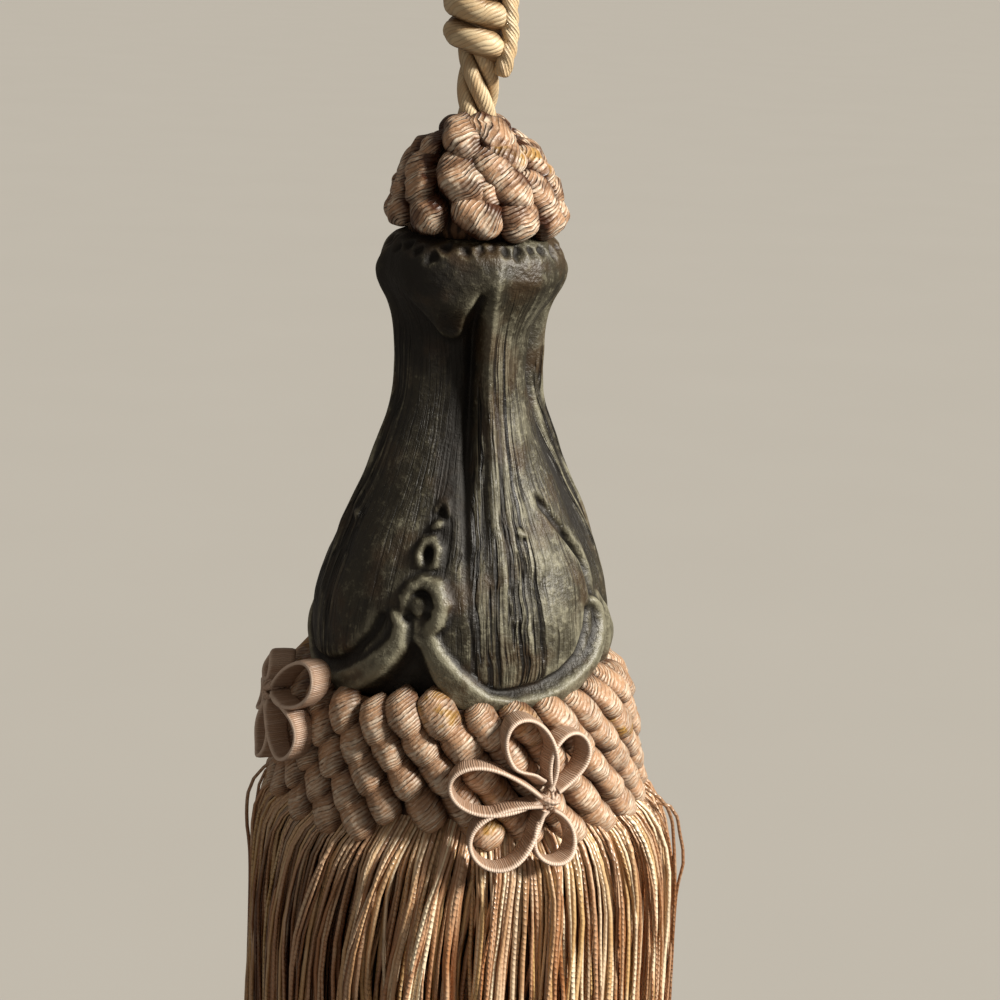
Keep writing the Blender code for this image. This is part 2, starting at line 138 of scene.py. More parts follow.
class Profile:
    """A turned outline: radii at drops, joined by a smooth curve."""

    steps = 600  # of the table that `at` reads

    def __init__(self, *pairs: tuple[float, float]) -> None:
        """Takes (drop, radius) pairs in millimetres, from the top down."""
        self.drops = np.array([pair[0] for pair in pairs]) * MM
        self.radii = np.array([pair[1] for pair in pairs]) * MM
        self.top = float(self.drops[0])
        self.step = (float(self.drops[-1]) - self.top) / self.steps
        table = np.linspace(self.drops[0], self.drops[-1], self.steps + 1)
        self.table: list[float] = self.radius(table).tolist()

    def at(self, drop: float) -> float:
        """The radius at one drop, in metres."""
        where = min(max((drop - self.top) / self.step, 0.0), self.steps - 0.001)
        k = int(where)
        return self.table[k] + (self.table[k + 1] - self.table[k]) * (where - k)

    def inset(self, depth: float) -> Callable[[float], float]:
        """A bed for lumps, a depth inside this outline.

        Args:
            depth: How far inside, in metres.

        Returns:
            A function that gives the bed's radius at a drop.
        """

        def bed(drop: float) -> float:
            """The bed's radius at one drop."""
            return self.at(drop) - depth

        return bed

    def radius(self, drop: Number) -> Grid:
        """The radius at each drop.

        Args:
            drop: Drops in metres.

        Returns:
            Radii in metres, on a Hermite curve through the pairs.
        """
        last = len(self.drops) - 1
        k = np.clip(np.searchsorted(self.drops, drop, side="right") - 1, 0, last - 1)
        low, high = self.drops[k], self.drops[k + 1]
        before, after = np.maximum(k - 1, 0), np.minimum(k + 2, last)
        span = high - low
        t = np.clip((drop - low) / span, 0, 1)
        rise_low = (self.radii[k + 1] - self.radii[before]) / (high - self.drops[before])
        rise_high = (self.radii[after] - self.radii[k]) / (self.drops[after] - low)
        return (
            self.radii[k] * (1 + 2 * t) * (1 - t) ** 2
            + rise_low * span * t * (1 - t) ** 2
            + self.radii[k + 1] * t * t * (3 - 2 * t)
            + rise_high * span * t * t * (t - 1)
        )


class Route:
    """A line in space with a side direction carried along it, for tubes and cords."""

    def __init__(self, points: Sequence[Vector], side: Vector) -> None:
        """Keeps the points and carries the first side direction along them.

        Args:
            points: The line.
            side: The side direction at its start.
        """
        self.points = list(points)
        self.tangents: list[Vector] = []
        self.sides: list[Vector] = []
        for i in range(len(self.points)):
            ahead = self.points[min(len(self.points) - 1, i + 1)]
            tangent = (ahead - self.points[max(0, i - 1)]).normalized()
            side = (side - tangent * side.dot(tangent)).normalized()
            self.tangents.append(tangent)
            self.sides.append(side)

    @classmethod
    def upright(cls, top: float, bottom: float, count: int) -> "Route":
        """A straight route down the tassel's axis."""
        levels = np.linspace(top, bottom, count)
        return cls([Vector((0, 0, level)) for level in levels], Vector((1, 0, 0)))

    @property
    def length(self) -> float:
        """The length of the line."""
        return sum((b - a).length for a, b in zip(self.points, self.points[1:]))

    def offset(self, share: float, angle: float, reach: float) -> Vector:
        """The point beside the line.

        Args:
            share: How far along the line, from 0 to 1.
            angle: Direction from the carried side.
            reach: Distance from the line.

        Returns:
            The point.
        """
        where = unit(share) * (len(self.points) - 1)
        k = min(int(where), len(self.points) - 2)
        t = where - k
        side = self.sides[k].lerp(self.sides[k + 1], t)
        up = self.tangents[k].lerp(self.tangents[k + 1], t).cross(side)
        centre = self.points[k].lerp(self.points[k + 1], t)
        return centre + (side * math.cos(angle) + up * math.sin(angle)) * reach

    def ply(self, phase: float, reach: float, lay: float, steps: int) -> "Route":
        """The route of one ply or strand that winds round this line.

        Args:
            phase: Where the ply starts, in turns.
            reach: Distance of the ply's centre from this line.
            lay: Length of this line that the ply takes for one turn.
            steps: Number of points of the new route, less one.

        Returns:
            The ply's own route.
        """
        turns = self.length / lay
        shares = [i / steps for i in range(steps + 1)]
        points = [self.offset(s, FULL_TURN * (phase + turns * s), reach) for s in shares]
        return Route(points, self.sides[0])


def smooth_line(guides: Sequence[Vector], count: int) -> list[Vector]:
    """Evenly spaced points on a smooth curve through the guides.

    Args:
        guides: The points that the curve passes.
        count: Number of points wanted.

    Returns:
        The points, both ends included.
    """
    ends = [2 * guides[0] - guides[1], *guides, 2 * guides[-1] - guides[-2]]
    fine: list[Vector] = []
    for a, b, c, d in zip(ends, ends[1:], ends[2:], ends[3:]):
        for t in (i / 16 for i in range(16)):
            square, cubic = 2 * a - 5 * b + 4 * c - d, 3 * b - 3 * c + d - a
            fine.append(0.5 * (2 * b + (c - a) * t + square * t * t + cubic * t**3))
    fine.append(guides[-1])
    along = np.concatenate([[0.0], np.cumsum([(b - a).length for a, b in zip(fine, fine[1:])])])
    wanted = np.linspace(0, along[-1], count)
    axes = [np.interp(wanted, along, [p[axis] for p in fine]) for axis in range(3)]
    return [Vector(point) for point in zip(*axes)]


# ---------------------------------------------------------------- shader tools


def plug(tree: bpy.types.NodeTree, slot: Socket, value: object) -> None:
    """Links a node's input to a Field or socket, or sets it to a plain value or colour.

    Args:
        tree: The node tree.
        slot: The input.
        value: What it gets.
    """
    value = value.socket if isinstance(value, Field) else value
    if isinstance(value, Socket):
        tree.links.new(value, slot)
    else:
        slot.default_value = (*value, 1) if slot.type == "RGBA" else value


class Field:
    """A number that varies over a surface: one output socket, with the sums a pattern needs."""

    def __init__(self, tree: bpy.types.NodeTree, socket: Socket) -> None:
        """Wraps a socket of a node tree."""
        self.tree = tree
        self.socket = socket

    def calc(self, operation: str, *values: "Field | float") -> "Field":
        """One Math node that works on these values.

        Args:
            operation: What it does.
            *values: What it works on.

        Returns:
            The result.
        """
        node = self.tree.nodes.new("ShaderNodeMath")
        node.operation = operation
        for slot, value in zip(node.inputs, values):
            plug(self.tree, slot, value)
        return Field(self.tree, node.outputs[0])

    def __add__(self, other: "Field | float") -> "Field":
        """This plus the other."""
        return self.calc("ADD", self, other)

    def __sub__(self, other: "Field | float") -> "Field":
        """This less the other."""
        return self.calc("SUBTRACT", self, other)

    def __rsub__(self, other: float) -> "Field":
        """The other less this."""
        return self.calc("SUBTRACT", other, self)

    def __mul__(self, other: "Field | float") -> "Field":
        """This times the other."""
        return self.calc("MULTIPLY", self, other)

    def __pow__(self, other: float) -> "Field":
        """This to a power."""
        return self.calc("POWER", self, other)

    __radd__, __rmul__ = __add__, __mul__

    def wave(self) -> "Field":
        """A rounded ridge, 0 to 1, for each whole number that this passes."""
        return self.calc("ABSOLUTE", self.calc("SINE", self * math.pi))

    def floor(self) -> "Field":
        """The whole number below."""
        return self.calc("FLOOR", self)

    def held(self) -> "Field":
        """This kept between 0 and 1."""
        return self.calc("MINIMUM", self.calc("MAXIMUM", self, 0.0), 1.0)


class Palette:
    """A material's node tree, with one method for each thing that a finish asks of it."""

    def __init__(self, name: str) -> None:
        """Makes an empty node material."""
        self.material = bpy.data.materials.new(name)
        self.material.use_nodes = True
        self.tree = self.material.node_tree
        self.tree.nodes.clear()

    def node(
        self, kind: str, settings: dict[str, object] | None = None, **sockets: object
    ) -> bpy.types.Node:
        """Adds one node.

        Args:
            kind: The node's type, after "ShaderNode".
            settings: Its properties.
            **sockets: Values, Fields or sockets for its inputs, by name with _ for a space.

        Returns:
            The node.
        """
        node = self.tree.nodes.new("ShaderNode" + kind)
        for key, value in (settings or {}).items():
            setattr(node, key, value)
        for key, value in sockets.items():
            slot = next(s for s in node.inputs if s.name == key.replace("_", " ") and s.enabled)
            plug(self.tree, slot, value)
        return node

    def field(self, socket: Socket) -> Field:
        """A socket as a Field."""
        return Field(self.tree, socket)

    def here(self) -> Socket:
        """The place on the object, in metres."""
        return self.node("TexCoord").outputs["Object"]

    def apart(self, vector: Socket) -> list[Field]:
        """The three numbers of a place."""
        return [self.field(out) for out in self.node("SeparateXYZ", Vector=vector).outputs]

    def uv(self) -> list[Field]:
        """The piece's own map: turns around, millimetres along."""
        return self.apart(self.node("UVMap", {"uv_map": "UVMap"}).outputs[0])[:2]

    def attribute(self, name: str) -> Field:
        """A number kept at the piece's vertices."""
        settings = {"attribute_type": "GEOMETRY", "attribute_name": name}
        return self.field(self.node("Attribute", settings).outputs["Fac"])

    def scaled(self, vector: Socket, x: float, y: float, z: float) -> Socket:
        """A place stretched along each axis."""
        return self.node("Mapping", Vector=vector, Scale=(x, y, z)).outputs[0]

    def point(self, x: Field | float, y: Field | float, z: Field | float) -> Socket:
        """A place made from three numbers."""
        return self.node("CombineXYZ", X=x, Y=y, Z=z).outputs[0]

    def noise(self, vector: Socket, scale: float, detail: float = 2.0, rough: float = 0.5) -> Field:
        """Cloudy noise, about 0.3 to 0.7."""
        sockets = {"Vector": vector, "Scale": scale, "Detail": detail, "Roughness": rough}
        return self.field(self.node("TexNoise", **sockets).outputs["Fac"])

    def chance(self, number: Field, salt: float = 0.0) -> Field:
        """A random value from 0 to 1 for each whole number."""
        seed = self.point(number.floor(), salt, 0.0)
        node = self.node("TexWhiteNoise", {"noise_dimensions": "2D"}, Vector=seed)
        return self.field(node.outputs["Value"])

    def rise(self, value: Field, low: float, high: float) -> Field:
        """A smooth step of the value from low to high."""
        sockets = {"Value": value, "From_Min": low, "From_Max": high}
        node = self.node("MapRange", {"interpolation_type": "SMOOTHSTEP"}, **sockets)
        return self.field(node.outputs[0])

    def blend(self, share: Field | float, first: Tint, second: Tint) -> Socket:
        """Two colours mixed by a share of the second.

        Args:
            share: The share.
            first: One colour.
            second: The other.

        Returns:
            The mixed colour.
        """
        node = self.node("Mix", {"data_type": "RGBA"})
        for slot, value in zip((0, 6, 7), (share, first, second)):
            plug(self.tree, node.inputs[slot], value)
        return node.outputs[2]

    def ramp(self, value: Field, *stops: tuple[float, Colour]) -> Socket:
        """A colour from stops of (place, colour).

        Args:
            value: Where on the ramp.
            *stops: Its stops, in order.

        Returns:
            The colour.
        """
        node = self.node("ValToRGB", Fac=value)
        marks = node.color_ramp.elements
        while len(marks) < len(stops):
            marks.new(1.0)
        for mark, (where, colour) in zip(marks, stops):
            mark.position = where
            mark.color = (*colour, 1)
        return node.outputs[0]

    def bump(self, height: Field, depth: float, under: Socket | None = None) -> Socket:
        """A normal raised by a height of 0 to 1, depth metres at most, over the one under it."""
        below = {} if under is None else {"Normal": under}
        return self.node("Bump", Height=height, Distance=depth, Strength=1.0, **below).outputs[0]

    def surface(
        self, colour: Socket, roughness: Field | float, normal: Socket, shine: float = 0.5
    ) -> Material:
        """Ends the tree in a Principled surface.

        Args:
            colour: Base colour.
            roughness: Roughness.
            normal: The bumped normal.
            shine: Specular level.

        Returns:
            The finished material.
        """
        sockets = {"Base_Color": colour, "Roughness": roughness, "Normal": normal}
        shader = self.node("BsdfPrincipled", Specular_IOR_Level=shine, **sockets)
        self.node("OutputMaterial", Surface=shader.outputs[0])
        return self.material


# ---------------------------------------------------------------- finishes


@dataclass(frozen=True)
class YarnWrap:
    """Satin yarn wound closely round a core, seen as fine threads across each lump."""

    name: str
    shade: Colour = (0.070, 0.020, 0.005)
    body: Colour = (0.54, 0.315, 0.180)
    glint: Colour = (0.92, 0.80, 0.64)
    gold: Colour = (0.50, 0.27, 0.040)
    thread: float = 0.45  # width of a thread, mm
    slant: float = -1.5  # threads passed in a turn round the lump
    depth: float = 0.18 * MM
    parted: float = 0.55  # how much painted shadow shows between threads
    varied: float = 0.6  # how much threads differ
    rough: float = 0.46
    streaky: float = 2.8  # how much the fibres glint
    # how much darker the cloudy random patches are
    patchy: float = 0.30
    crease_shade: float = 0.55  # how dark a lump's sides are painted, as shade where it sinks between its neighbours

    def material(self) -> Material:
        """Builds the node material."""
        p = Palette(self.name)
        around, along = p.uv()
        here, tone = p.here(), p.attribute("tone")
        wander = p.noise(here, 75.0)
        count = along * (1 / self.thread) + around * self.slant + (wander - 0.5) * 1.5
        thread = count.wave() ** 0.7
        lot, gap = p.chance(count), p.chance(count + 0.5, 3.0)
        fibre = p.noise(p.point(around * 7.0, count * 0.8, tone * 40.0), 2.0, 3.0, 0.6)
        gilt = p.rise(tone, 0.88, 0.92) * p.rise(p.noise(here, 300.0), 0.48, 0.60)
        bright = ((lot - 0.5) * self.varied + (fibre - 0.45) * self.streaky).held()
        body = p.blend(bright, self.body, self.glint)
        body = p.blend(gilt * (0.50 + 0.4 * lot), body, self.gold)
        broken = p.noise(p.point(around * 12.0, count * 0.8, tone * 31.0), 1.5, 1.0)
        # painted shade: dark between threads where a gap opens, and dark on each lump's sides where
        # it sinks between its neighbours
        open_gap = 0.20 + 0.95 * p.rise(gap, 0.25, 0.70) * p.rise(broken, 0.44, 0.56)
        side = p.rise((around * 2.0 + 0.5).wave(), 0.45, 0.98) * self.crease_shade
        painted_shade = side + p.rise(thread, 0.72, 0.08) * self.parted * open_gap
        # darker in cloudy random patches
        dark_patches = p.rise(p.noise(here, 190.0, 3.0), 0.46, 0.64) * self.patchy
        colour = p.blend((painted_shade + dark_patches).held(), body, self.shade)
        height = thread * (0.40 + 0.60 * lot) + fibre * 0.5 - painted_shade * 0.5
        normal = p.bump(height, self.depth, p.bump(p.noise(here, 520.0, 3.0), 0.35 * MM))
        return p.surface(colour, self.rough - 0.12 + 0.24 * fibre, normal, 0.7)


@dataclass(frozen=True)
class TwistedCord:
    """A strand of cream rayon yarns whose twist runs round it."""

    name: str
    shade: Colour = (0.20, 0.095, 0.028)
    body: Colour = (0.70, 0.465, 0.240)
    glint: Colour = (0.93, 0.78, 0.52)
    yarn: float = 0.95  # length along the strand for one yarn, mm
    starts: int = 14  # yarns side by side round the strand

    def material(self) -> Material:
        """Builds the node material."""
        p = Palette(self.name)
        around, along = p.uv()
        here = p.here()
        wander = p.noise(here, 160.0, 1.0)
        count = along * (1 / self.yarn) + around * float(self.starts) + (wander - 0.5) * 2.2
        yarn = count.wave() ** 0.8
        fibre = p.noise(p.point(count * 3.0, along * 0.5, around * 3.0), 2.0, 3.0, 0.6)
        lot = p.chance(count)
        body = p.blend((fibre * 0.6 + lot * 0.5 - 0.1).held(), self.body, self.glint)
        # painted shade between the yarns and on the strand's inner side, where its tone is low,
        # with random darker patches too
        painted_shade = p.rise(yarn, 0.5, 0.02) * 0.26 + p.rise(p.noise(here, 240.0), 0.52, 0.66) * 0.22
        painted_shade = painted_shade + p.rise(p.attribute("tone"), 0.75, 0.0) * 0.75
        colour = p.blend(painted_shade.held(), body, self.shade)
        normal = p.bump(yarn * (0.5 + 0.5 * lot) + fibre * 0.6, 0.18 * MM)
        return p.surface(colour, 0.30 + 0.22 * fibre, normal, 0.6)


@dataclass(frozen=True)
class GimpWrap:
    """Rose gimp: a flat ribbon closely wrapped with fine thread, paler along its outer edge, part
    fuzz and part painted highlight, with painted shade between the wraps.
    """

    name: str
    shade: Colour = (0.20, 0.090, 0.045)
    body: Colour = (0.42, 0.262, 0.172)
    edge: Colour = (0.86, 0.68, 0.55)
    rib: float = 0.48  # mm

    def material(self) -> Material:
        """Builds the node material."""
        p = Palette(self.name)
        _, along = p.uv()
        here = p.here()
        wander = p.noise(p.scaled(here, 300, 300, 300), 1.0, 1.0)
        count = along * (1 / self.rib) + (wander - 0.5) * 1.5
        rib, lot = count.wave(), p.chance(count)
        fuzz = p.noise(here, 2600.0, 3.0, 0.7)
        # the outer edge is paler, part fuzz and part painted highlight
        rim = p.rise(p.attribute("tone"), 0.80, 1.0)
        body = p.blend(0.34 * lot, self.body, self.edge)
        body = p.blend(rim * (0.65 + 0.35 * fuzz), body, self.edge)
        # painted shade in the gaps between the wraps, less on the edge
        gap = p.rise(rib, 0.5, 0.1) * (0.18 + 0.40 * p.chance(count, 2.0)) * (1 - 0.7 * rim)
        height = rib * (0.5 + 0.5 * lot) * (1 - 0.5 * rim) + fuzz * 0.4
        return p.surface(p.blend(gap, body, self.shade), 0.40, p.bump(height, 0.15 * MM), 0.6)


@dataclass(frozen=True)
class FringeThread:
    """Two-ply rayon thread: shiny, with a twist, and each thread its own shade."""

    name: str
    deep: Colour = (0.115, 0.036, 0.009)
    rust: Colour = (0.46, 0.200, 0.075)
    rose: Colour = (0.60, 0.340, 0.192)
    gold: Colour = (0.70, 0.450, 0.185)
    cream: Colour = (1.0, 0.84, 0.60)
    twist: float = 1.3  # length of one ply's half turn, mm

    def material(self) -> Material:
        """Builds the node material."""
        p = Palette(self.name)
        around, along = p.uv()
        tone = p.attribute("tone")
        wander = p.noise(p.point(along * 0.08, tone * 70.0, 0.0), 1.0, 1.0)
        jerk = p.noise(p.point(along * 0.35, tone * 90.0, 0.0), 1.0, 1.0)
        count = along * (1 / self.twist) + around * 1.6 + tone * 37.0 + wander * 3.0 + jerk * 0.9
        ply = count.wave() ** 0.8
        ropey = p.rise(p.noise(p.point(along * 0.03, tone * 50.0, 3.0), 1.0, 1.0), 0.40, 0.60)
        # painted sheen and shade: a paler streak and a darker streak run along each thread, round
        # its side
        sheen_and_shade_streak = p.point(around * 1.5 + tone * 90.0, along * 0.09, tone * 300.0)
        sheen_and_shade_streak = p.noise(sheen_and_shade_streak, 1.0, 3.0)
        shades = (self.deep, self.rust, self.rose, self.gold, self.rose, self.cream)
        colour = p.ramp(tone, *zip((0.0, 0.22, 0.44, 0.60, 0.76, 0.94), shades))
        colour = p.blend(p.rise(sheen_and_shade_streak, 0.50, 0.74) * 0.45, colour, self.cream)
        colour = p.blend(p.rise(sheen_and_shade_streak, 0.44, 0.24) * 0.6, colour, self.deep)
        # painted highlight on the upper part of each thread, where the skirt's shoulder turns
        colour = p.blend(p.rise(along, 34.0, 4.0) * 0.20, colour, self.cream)
        # painted shade in the grooves between the plies
        colour = p.blend(p.rise(ply, 0.60, 0.0) * (0.08 + 0.34 * ropey), colour, self.deep)
        normal = p.bump(ply * (0.35 + 0.65 * ropey), 0.14 * MM)
        return p.surface(colour, 0.24 + 0.20 * sheen_and_shade_streak, normal, 1.0)


@dataclass(frozen=True)
class DarkCore:
    """Painted shade: the dark inside that shows only between cords and threads, coloured as the
    shade there.
    """

    name: str
    dark: Colour = (0.030, 0.015, 0.009)
    pale: Colour = (0.16, 0.085, 0.045)
    strand: float = 900.0  # strands to a metre

    def material(self) -> Material:
        """Builds the node material."""
        p = Palette(self.name)
        strand = p.noise(p.scaled(p.here(), self.strand, self.strand, 40), 1.0)
        colour = p.blend(p.rise(strand, 0.42, 0.66), self.dark, self.pale)
        return p.surface(colour, 0.7, p.bump(strand, 0.6 * MM), 0.3)


@dataclass(frozen=True)
class BronzePatina:
    """Moulded resin with a dark olive bronze patina, rubbed pale on what stands proud, painted
    paler on its sunlit side and painted darker, as shade, on its shaded left and in its folds.
    """

    name: str
    pit: Colour = (0.006, 0.004, 0.002)
    dark: Colour = (0.010, 0.007, 0.003)
    olive: Colour = (0.048, 0.041, 0.024)
    rubbed: Colour = (0.268, 0.252, 0.178)
    brown: Colour = (0.070, 0.034, 0.010)

    def material(self) -> Material:
        """Builds the node material."""
        p = Palette(self.name)
        here = p.here()
        x, y, high = p.apart(here)
        flat = p.node("VectorMath", {"operation": "NORMALIZE"}, Vector=p.point(x, y, 0.0))
        east, north, _ = p.apart(flat.outputs[0])
        bend = p.noise(p.scaled(here, 70, 70, 60), 1.0) * 3.0

        def grain(count: float, reach: float, detail: float) -> Field:
            """Lines down the head: count per radian, each about reach metres long."""
            lines = p.point(east * count + bend, north * count + bend, high * (1 / reach))
            return p.noise(lines, 1.0, detail, 0.55)

        wear_and_painted_light, deep, grainy = p.attribute("wear_and_painted_light"), p.attribute("deep"), p.attribute("grainy")
        coarse, fine = grain(30.0, 0.045, 1.0), grain(70.0, 0.016, 3.0)
        cut, crest = p.rise(coarse, 0.47, 0.38) * grainy, p.rise(coarse, 0.50, 0.62) * grainy
        scratch = p.rise(fine, 0.50, 0.36) * (0.02 + 0.98 * grainy)
        mottle = p.noise(here, 110.0, 4.0, 0.62)
        speck = p.noise(here, 640.0, 3.0, 0.68)
        # Paler with wear and painted light, darker with hollow patina and painted shade, both from
        # the head's attributes.
        light = 0.23 + wear_and_painted_light * 0.95 + crest * 0.42 + p.rise(mottle, 0.40, 0.66) * 0.27
        light = light + p.rise(speck, 0.48, 0.70) * 0.34 - cut * 0.7 - scratch * 0.35 - deep * 0.9
        colour = p.ramp(light.held(), (0.0, self.dark), (0.45, self.olive), (1.0, self.rubbed))
        tint = p.rise(p.noise(here, 75.0, 3.0, 0.6), 0.48, 0.64) * (0.45 + 0.3 * wear_and_painted_light)
        colour = p.blend(tint.held(), colour, self.brown)
        colour = p.blend((deep * 0.9 + cut).held(), colour, self.pit)
        normal = p.bump(speck, 0.34 * MM, p.bump(mottle, 0.6 * MM))
        normal = p.bump(1 - cut, 1.1 * MM, p.bump(1 - scratch, 0.25 * MM, normal))
        return p.surface(colour, 0.36 + 0.24 * mottle + 0.35 * deep, normal, 0.6)


# ---------------------------------------------------------------- pieces


class Blank:
    """A grid closed into a plain tube or ball, ready to be shaped many times over."""

    made: dict[tuple[int, int, bool], bpy.types.Mesh] = {}

    @classmethod
    def mesh(cls, around: int, along: int, ball: bool) -> bpy.types.Mesh:
        """The blank for these counts.

        Args:
            around: Faces around.
            along: Faces along.
            ball: Draws each end together in one point, instead of closing it flat.

        Returns:
            A mesh that keeps each vertex's shares around and along as attributes.
        """
        key = (around, along, ball)
        if key in cls.made:
            return cls.made[key]
        bm = bmesh.new()
        bmesh.ops.create_grid(bm, x_segments=around, y_segments=along, size=0.5)
        chart = bm.loops.layers.uv.new("UVMap")
        _, share_u, share_v = (bm.verts.layers.float.new(n) for n in ("tone", "share_u", "share_v"))
        for face in bm.faces:
            for loop in face.loops:
                loop[chart].uv = (loop.vert.co.x + 0.5, loop.vert.co.y + 0.5)
        for vert in bm.verts:
            u, v = vert.co.x + 0.5, vert.co.y + 0.5
            vert[share_u], vert[share_v] = u if u < 0.9999 else 0.0, v
            ring = math.sin(math.pi * v) if ball else 1.0
            vert.co = (math.cos(FULL_TURN * u) * ring, math.sin(FULL_TURN * u) * ring, 4 * v)
        bmesh.ops.remove_doubles(bm, verts=bm.verts, dist=1e-4)
        bmesh.ops.recalc_face_normals(bm, faces=bm.faces)
        if not ball:
            bmesh.ops.holes_fill(bm, edges=[edge for edge in bm.edges if edge.is_boundary])
        cls.made[key] = bpy.data.meshes.new(f"blank_{around}_{along}_{ball}")
        bm.to_mesh(cls.made[key])
        bm.free()
        return cls.made[key]

    @classmethod
    def clear(cls) -> None:
        """Removes the blanks from the file."""
        for mesh in cls.made.values():
            bpy.data.meshes.remove(mesh)
        cls.made.clear()


class Piece:
    """One finished piece: tubes and lumps shaped from blanks, gathered in one mesh."""

    def __init__(self, name: str) -> None:
        """Starts an empty mesh."""
        self.name = name
        self.bm = bmesh.new()

    def wrap(
        self,
        around: int,
        along: int,
        shape: Placer,
        tone: float | Callable[[float, float], float] = 0.5,
        length: float | Callable[[float], float] = 1.0,
        ball: bool = False,
    ) -> None:
        """Shapes one more blank into a tube or a lump.

        Args:
            around: Faces around.
            along: Faces along.
            shape: Gives the point for a share around and a share along.
            tone: The tone attribute, as a number or by the same two shares.
            length: What the map counts along the piece, in mm, or that for each share along.
            ball: Draws the ends together in points.
        """
        verts_before, faces_before = len(self.bm.verts), len(self.bm.faces)
        self.bm.from_mesh(Blank.mesh(around, along, ball))
        layers = self.bm.verts.layers.float
        share_u, share_v, shade = layers["share_u"], layers["share_v"], layers["tone"]
        chart = self.bm.loops.layers.uv["UVMap"]
        self.bm.verts.ensure_lookup_table()
        self.bm.faces.ensure_lookup_table()
        for vert in self.bm.verts[verts_before:]:
            u, v = vert[share_u], vert[share_v]
            vert.co = shape(u, v)
            vert[shade] = tone(u, v) if callable(tone) else tone
        for face in self.bm.faces[faces_before:]:
            for loop in face.loops:
                u, v = loop[chart].uv
                loop[chart].uv = (u, length(v) if callable(length) else v * length)

    def finish(self, material: Material, slot: str, *nodes: str) -> bpy.types.Object:
        """Makes the piece an object that rides on the root body.

        Args:
            material: Its material.
            slot: The record's material slot; not used.
            *nodes: The CAD nodes that it stands for.

        Returns:
            The object.
        """
        bmesh.ops.recalc_face_normals(self.bm, faces=self.bm.faces)
        mesh = bpy.data.meshes.new(self.name)
        self.bm.to_mesh(mesh)
        self.bm.free()
        mesh.shade_smooth()
        mesh.materials.append(material)
        piece = show(self.name, mesh)
        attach(piece, ROOT)
        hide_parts(*nodes)
        LOG.info("%s: %d faces", self.name, len(mesh.polygons))
        return piece


def tube(
    route: Route, radius: float, ends: float = 0.0, ply: float = 0.0, plies: float = 0.0
) -> Placer:
    """The shape of a round tube along a route.

    Args:
        route: The line that it follows.
        radius: Its radius.
        ends: Share of the length over which each end narrows.
        ply: How deep the grooves between plies are, as a share of the radius.
        plies: Ply grooves passed along the whole length.

    Returns:
        A function of the shares around and along.
    """

    def shape(u: float, v: float) -> Vector:
        """A point of the tube."""
        reach = radius
        if ends:
            left = 1 - min(1.0, min(v, 1 - v) / ends)
            reach *= math.sqrt(max(0.0, 1 - left**2)) * 0.97 + 0.03
        if ply:
            reach *= 1 - ply * (1 - math.sqrt(abs(math.sin(math.pi * (v * plies + 3 * u)))))
        return route.offset(v, FULL_TURN * u, reach)

    return shape


def crest(shape: Placer, low: float, rise: float) -> Callable[[float, float], float]:
    """The tone of a wound strand, by how far it stands out from the tassel's axis; the cord's
    finish paints the inner parts darker, as painted shade.

    Args:
        shape: The strand's shape.
        low: The radius at which the tone is 0.
        rise: How much further out it is 1.

    Returns:
        A function of the shares around and along.
    """

    def tone(u: float, v: float) -> float:
        """The tone at a point of the strand."""
        point = shape(u, v)
        return float(ease((math.hypot(point.x, point.y) - low) / rise))

    return tone


